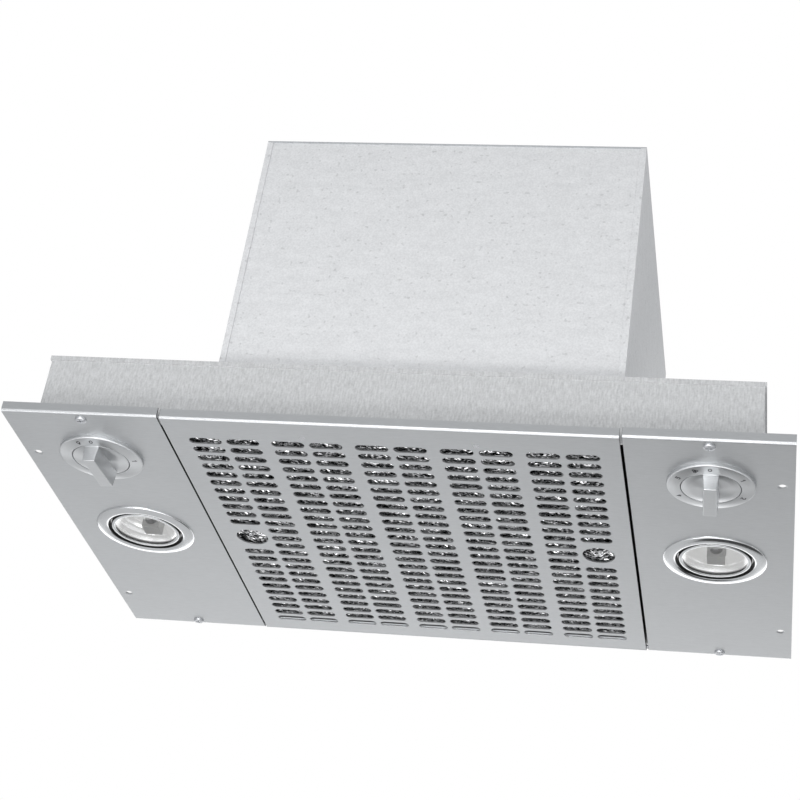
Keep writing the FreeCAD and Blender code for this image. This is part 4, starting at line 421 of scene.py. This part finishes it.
STROKES = {
    "0": [ring_of(16, 0.42, (0.3, 0.5)) * (0.8, 1.1) + (0.06, -0.05)],
    "1": [[(0.1, 0.72), (0.38, 1.0), (0.38, 0.0)]],
    "2": [[(0.0, 0.78), (0.15, 1.0), (0.45, 1.0), (0.6, 0.78), (0.55, 0.55), (0.0, 0.0), (0.62, 0.0)]],
    "3": [[(0.0, 1.0), (0.6, 1.0), (0.28, 0.58), (0.6, 0.38), (0.55, 0.1), (0.3, 0.0), (0.0, 0.08)]],
    "4": [[(0.45, 0.0), (0.45, 1.0), (0.0, 0.3), (0.66, 0.3)]],
    "5": [[(0.58, 1.0), (0.05, 1.0), (0.02, 0.55), (0.38, 0.62), (0.6, 0.4), (0.5, 0.08), (0.25, 0.0),
           (0.0, 0.08)]],
    "blades": [ring_of(36, 0.62, (0.3, 0.5), 0.75), ring_of(10, 0.14, (0.3, 0.5))],
    "bulb": [ring_of(16, 0.36, (0.3, 0.66)), [(0.14, 0.2), (0.46, 0.2)], [(0.18, 0.0), (0.42, 0.0)]],
}
MARKS = {"fan": (("0", 0), ("1", 60), ("2", 120), ("3", 180), ("4", 240), ("5", 300), ("blades", -23.5)),
         "light": (("0", 0), ("1", 90), ("2", 180), ("bulb", -22.7))}
MARK_HEIGHT, MARK_HALF_STROKE, MARK_RADIUS, MARK_PROUD = 3.1, 0.33, 24.9, 0.03
DIAL_CONE_RADIUS, DIAL_CONE_DEPTH, DIAL_CONE_SLOPE = 21.1, 3.55, 0.0923


def printed_mark(name, angle, centre):
    """A printed mark: each stroke is a strip of even width, laid on the dial's cone and turned about the
    dial's centre so that its top points outward. A strip runs a little past both of its ends, so bends
    show no gap."""
    lines = [np.asarray(line, float) for line in STROKES[name]]
    start = (np.concatenate([line[:-1] for line in lines]) - (0.3, 0.5)) * MARK_HEIGHT
    end = (np.concatenate([line[1:] for line in lines]) - (0.3, 0.5)) * MARK_HEIGHT
    way = (end - start) / np.linalg.norm(end - start, axis=1, keepdims=True)
    across = np.stack([-way[:, 1], way[:, 0]], -1) * MARK_HALF_STROKE
    start, end = start - way * MARK_HALF_STROKE * 0.8, end + way * MARK_HALF_STROKE * 0.8
    flat = np.stack([start - across, end - across, end + across, start + across], 1)
    turn = math.radians(angle)
    x = flat[..., 0] * math.cos(turn) + (flat[..., 1] + MARK_RADIUS) * math.sin(turn)
    y = flat[..., 0] * math.sin(turn) - (flat[..., 1] + MARK_RADIUS) * math.cos(turn)
    depth = DIAL_CONE_DEPTH - (np.hypot(x, y) - DIAL_CONE_RADIUS) * DIAL_CONE_SLOPE + MARK_PROUD
    return np.stack([x, y, -depth], -1) * MM + np.array(centre)


ink = finish_of("ink", (0.03, 0.03, 0.035), 0.7, Specular_IOR_Level=0.2)
grip_metal = finish_of("grip_metal", (0.62, 0.63, 0.64), 0.36, 1.0, satin, bump=0.05)
turned_face = turned_metal("turned_face", (0.62, 0.63, 0.64), 0.36, 0.9)
CONTROLS = {"fan": ("fan_control", 0.028), "light": ("light_control", -0.06)}
PANEL_UNDER = -1.0 * MM
for control, (body, turned) in CONTROLS.items():
    low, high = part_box(f"{control}_dial")
    centre = ((low.x + high.x) / 2, (low.y + high.y) / 2, PANEL_UNDER)
    ring_profile = np.array([(20.6, 0.0), (20.6, -3.2), (20.75, -3.5), (21.1, -3.55), (28.9, -2.83),
                             (29.3, -2.76), (29.7, -2.5), (29.93, -2.1), (30.0, -1.6), (30.0, 0.0)]) * MM
    points, faces = joined(turned_grid(ring_profile, centre, 128))
    dial = mesh_object(f"{control}_dial_ring", points, faces, "hood_body", turned_face, 35)
    ring_tangent(dial, centre)
    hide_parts(f"{control}_dial")

    strips = np.concatenate([printed_mark(name, angle, centre) for name, angle in MARKS[control]])
    strip_faces = np.arange(strips.shape[0] * 4).reshape(-1, 4)
    mesh_object(f"{control}_marks", strips, strip_faces, "hood_body", ink)

    disc_profile = np.array([(17.6, -0.4), (20.2, -0.4), (20.2, -3.1), (20.05, -3.45), (19.7, -3.6),
                             (14.0, -3.6), (8.0, -3.6), (0.01, -3.6)]) * MM
    inner_profile = np.array([(17.6, -0.4), (17.6, -2.6), (0.01, -2.6)]) * MM
    points, faces = joined(turned_grid(disc_profile, centre, 128), turned_grid(inner_profile, centre, 96))
    knob = mesh_object(f"{control}_knob_disc", points, faces, body, turned_face, 35)
    ring_tangent(knob, centre)
    bar = grip_bar(centre, turned)
    rows, columns = bar.shape[:2]
    faces = grid_faces(rows, columns, False, True).tolist()
    faces.append(list(range((rows - 1) * columns, rows * columns)))
    grip = mesh_object(f"{control}_knob_grip", bar, faces, body, grip_metal, 30)
    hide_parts(f"{control}_knob")
    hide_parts(f"{control}_knob")

# ---------------------------------------------------------------------------------------------
# Lamps: chromed trim rings pressed into the panels, bayonet lens rings with clear glass, polished bowls and
# capsule bulbs in ceramic holders. The bowls glow faintly as painted light, so that they read as bright,
# and the trim's sleeve and the lens rings' walls are near-black metal as painted shade.
# ---------------------------------------------------------------------------------------------

chrome = finish_of("chrome", (0.76, 0.77, 0.78), 0.16, 1.0)
# Painted shade: near-black metal for the trim's sleeve and the lens rings' walls.
shaded = finish_of("shaded_metal", (0.02, 0.02, 0.02), 0.5, 0.5)
# Painted light: the polished bowls glow with an emission of 0.3 of their own.
glowing_polished = finish_of("polished_bowl_painted_glow", (0.97, 0.97, 0.97), 0.2, 1.0, Emission_Color=(1.0, 1.0, 1.0, 1.0),
                     Emission_Strength=0.3)
glass = finish_of("clear_glass", (1.0, 1.0, 1.0), 0.02, 0.0, Transmission_Weight=1.0, IOR=1.45)
ceramic = finish_of("ceramic", (0.30, 0.30, 0.29), 0.6)

TRIM_POINTS, TRIM_AROUND, RING_AROUND = 40, 192, 128
TRIM_BORE, TRIM_WIDTH, TRIM_EDGE, TRIM_PROUD = 28.4, 9.2, 37.6, 1.8
TRIM_CREST, TRIM_RIM = 0.3, 0.16


def trim_profile(count):
    """The trim's section as (radius, height): from its bore it rises to a crest on a cubic and falls to
    the rim on a quarter ellipse, then closes on the panel."""
    share = np.linspace(0, 1, count)
    rise = 1 - 0.5 * ((TRIM_CREST - share) / TRIM_CREST) ** 3
    past = np.clip(share - TRIM_CREST, 0, None) / (1 - TRIM_CREST)
    fall = TRIM_RIM + (1 - TRIM_RIM) * np.sqrt(np.clip(1 - past ** 2, 0, None))
    height = np.where(share < TRIM_CREST, rise, fall)
    section = np.stack([TRIM_BORE + TRIM_WIDTH * share, -TRIM_PROUD * height], -1)
    return np.append(section, [[TRIM_EDGE, 0.0]], 0)


def shaded_from(made, material, first):
    """Gives the faces from a number on a second material."""
    made.data.materials.append(material)
    slot = (np.arange(len(made.data.polygons)) >= first).astype(np.int32)
    made.data.polygons.foreach_set("material_index", slot)


for side in ("left", "right"):
    low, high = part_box(f"lamp_trim_{side}")
    centre = ((low.x + high.x) / 2, (low.y + high.y) / 2, PANEL_UNDER)
    sleeve_profile = np.array([(TRIM_BORE, -1.3), (TRIM_BORE, 10.0), (29.4, 10.0), (29.4, 0.0)])
    points, faces = joined(turned_grid(trim_profile(TRIM_POINTS) * MM, centre, TRIM_AROUND),
                           turned_grid(sleeve_profile * MM, centre, RING_AROUND))
    trim = mesh_object(f"lamp_bezel_{side}", points, faces, "hood_body", chrome, 40)
    shaded_from(trim, shaded, TRIM_AROUND * TRIM_POINTS)
    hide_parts(f"lamp_trim_{side}")

    lip_profile = np.array([(23.4, -0.2), (23.4, -0.5), (23.6, -0.72), (24.0, -0.8), (25.5, -0.8),
                            (25.9, -0.7), (26.05, -0.5), (26.1, -0.3)])
    wall_profile = np.array([(26.1, -0.3), (26.4, 0.2), (26.4, 3.4), (24.7, 3.4), (24.7, 0.0), (23.4, 0.0),
                             (23.4, -0.2)])
    points, faces = joined(turned_grid(lip_profile * MM, centre, RING_AROUND),
                           turned_grid(wall_profile * MM, centre, RING_AROUND))
    lens_ring = mesh_object(f"twist_ring_{side}", points, faces, f"{side}_lamp_glass", chrome, 40)
    shaded_from(lens_ring, shaded, RING_AROUND * (len(lip_profile) - 1))
    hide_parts(f"lens_ring_{side}")
    dress(glass, f"lamp_lens_{side}")
dress(glass, "lamp_bulbs")
dress(glowing_polished, "lamp_reflectors")
dress(ceramic, "lamp_sockets")

# ---------------------------------------------------------------------------------------------
# Blower motor, switches and fasteners: zinc-plated, varnished iron, spring steel, bronze and
# moulded plastic.
# ---------------------------------------------------------------------------------------------

zinc_plate = finish_of("zinc_plate", (0.66, 0.67, 0.69), 0.25, 1.0)
spring = finish_of("spring_steel", (0.42, 0.43, 0.45), 0.3, 1.0)
iron = finish_of("varnished_iron", (0.09, 0.09, 0.10), 0.45, 0.4)
motor_cap = finish_of("motor_cap", (0.55, 0.56, 0.58), 0.35, 1.0, satin, bump=0.1)
bronze = finish_of("sintered_bronze", (0.50, 0.33, 0.16), 0.45, 1.0)
plastic = finish_of("black_moulding", (0.03, 0.03, 0.033), 0.5)
screw_zinc = finish_of("screw_zinc", (0.62, 0.63, 0.65), 0.4, 1.0)
dress(screw_zinc, "face_screws")
dress(zinc_plate, "sheet_metal_screws", "motor_bolts", "clip_rivets", "switch_nuts",
      "fan_shaft", "light_shaft")
dress(spring, "clip_nuts", "grille_catches", "hinge_rod", "damper_rod", "motor_shaft")
dress(iron, "motor_stator", "motor_rotor")
dress(motor_cap, "motor_bell_inner", "motor_bell_outer", "motor_bracket")
dress(bronze, "motor_bearings")
dress(plastic, "fan_switch", "light_switch", "cable_bushing")

# ---------------------------------------------------------------------------------------------
# Room: a pale floor far below, a white backdrop, soft rectangular lights and one dark card on the
# floor for the chrome to mirror. The camera sees the backdrop as plain white.
# ---------------------------------------------------------------------------------------------


def plane(name, centre, size, material, facing=(0, 0, 1)):
    """A rectangle that faces one way."""
    data = bpy.data.meshes.new(name)
    half_x, half_y = size[0] / 2, size[1] / 2
    corners = [(-half_x, -half_y, 0), (half_x, -half_y, 0), (half_x, half_y, 0), (-half_x, half_y, 0)]
    data.from_pydata(corners, [], [(0, 1, 2, 3)])
    turned = Vector(facing).to_track_quat("Z", "Y").to_matrix().to_4x4()
    data.transform(Matrix.Translation(Vector(centre)) @ turned)
    data.materials.append(material)
    made = bpy.data.objects.new(name, data)
    bpy.context.scene.collection.objects.link(made)
    return made


def soft_light(name, centre, size, power, aim=(0.0, 0.0, 0.05)):
    """A soft rectangular light aimed at a point."""
    data = bpy.data.lights.new(name, "AREA")
    data.shape = "RECTANGLE"
    data.size, data.size_y = size
    data.energy = power
    made = bpy.data.objects.new(name, data)
    made.location = centre
    made.rotation_euler = (Vector(aim) - Vector(centre)).to_track_quat("-Z", "Y").to_euler()
    bpy.context.scene.collection.objects.link(made)
    return made


FLOOR_Z = -0.95
pale = finish_of("pale_floor", (0.80, 0.80, 0.80), 0.6)
plane("floor", (0, 0, FLOOR_Z), (14.0, 14.0), pale)

soft_light("key_box", (-0.15, -1.75, -0.35), (0.9, 0.7), 12.0)
soft_light("low_box", (0.0, -0.66, -0.90), (1.7, 0.42), 5.0, (0, -0.2, 0.0))
soft_light("glow_box", (0.0, -0.58, -0.93), (1.9, 1.0), 5.2, (0, -0.58, 0.0))
soft_light("right_box", (2.0, 0.1, 0.25), (0.8, 0.8), 4.0, (0.15, 0.0, 0.15))
soft_light("rear_box", (0.0, 1.35, -0.30), (2.4, 0.45), 3.8, (0, 0.1, 0.0))
soft_light("floor_lamp", (0.2, 3.1, 1.6), (2.4, 1.6), 28, (0, 3.3, FLOOR_Z))
dark = finish_of("dark_card", (0.03, 0.03, 0.03), 0.7)
card = plane("right_card", (0.56, 0.62, -0.80), (1.0, 0.75), dark, (0.0, 0.0, 1.0))
card.visible_camera = False

world = bpy.data.worlds.new("studio")
bpy.context.scene.world = world
world.use_nodes = True
sky = world.node_tree
sky.nodes.clear()
ray = sky.nodes.new("ShaderNodeLightPath")
seen = node(sky, "ShaderNodeBackground", Color=(1, 1, 1, 1), Strength=1.0)
around = node(sky, "ShaderNodeBackground", Color=(0.50, 0.51, 0.52, 1), Strength=1.0)
mix = node(sky, "ShaderNodeMixShader", _0=ray.outputs["Is Camera Ray"], _1=around.outputs[0],
           _2=seen.outputs[0])
node(sky, "ShaderNodeOutputWorld", Surface=mix.outputs[0])

# ---------------------------------------------------------------------------------------------
# Camera: below and in front of the hood, a little to the right, looking up at the face. Its place,
# turns and focal length were fitted to the outline in the photograph.
# ---------------------------------------------------------------------------------------------

PICTURE = 800
FOCAL_PIXELS = 1929.92
CENTRE_X, CENTRE_Y = 466.4, 374.1
SENSOR = 36.0
STAND = (0.2798, -1.2662, -0.6247)
tilt, swing, roll = -0.539, 0.207, 0.145
camera_data = bpy.data.cameras.new("camera")
camera_data.sensor_width = SENSOR
camera_data.lens = FOCAL_PIXELS * SENSOR / PICTURE
camera_data.shift_x = -(CENTRE_X - PICTURE / 2) / PICTURE
camera_data.shift_y = -(PICTURE / 2 - CENTRE_Y) / PICTURE
turn_x = np.array([[1, 0, 0], [0, math.cos(tilt), -math.sin(tilt)], [0, math.sin(tilt), math.cos(tilt)]])
turn_y = np.array([[math.cos(swing), 0, math.sin(swing)], [0, 1, 0],
                   [-math.sin(swing), 0, math.cos(swing)]])
turn_z = np.array([[math.cos(roll), -math.sin(roll), 0], [math.sin(roll), math.cos(roll), 0], [0, 0, 1]])
look = turn_z @ turn_x @ turn_y @ np.array([[1, 0, 0], [0, 0, -1], [0, 1, 0]], float)
camera = bpy.data.objects.new("camera", camera_data)
camera.matrix_world = Matrix(np.block([[np.column_stack([look[0], -look[1], -look[2]]),
                                        np.array(STAND)[:, None]],
                                       [np.zeros((1, 3)), np.ones((1, 1))]]).tolist())
bpy.context.scene.collection.objects.link(camera)
bpy.context.scene.camera = camera
bpy.context.scene.view_settings.view_transform = "Standard"
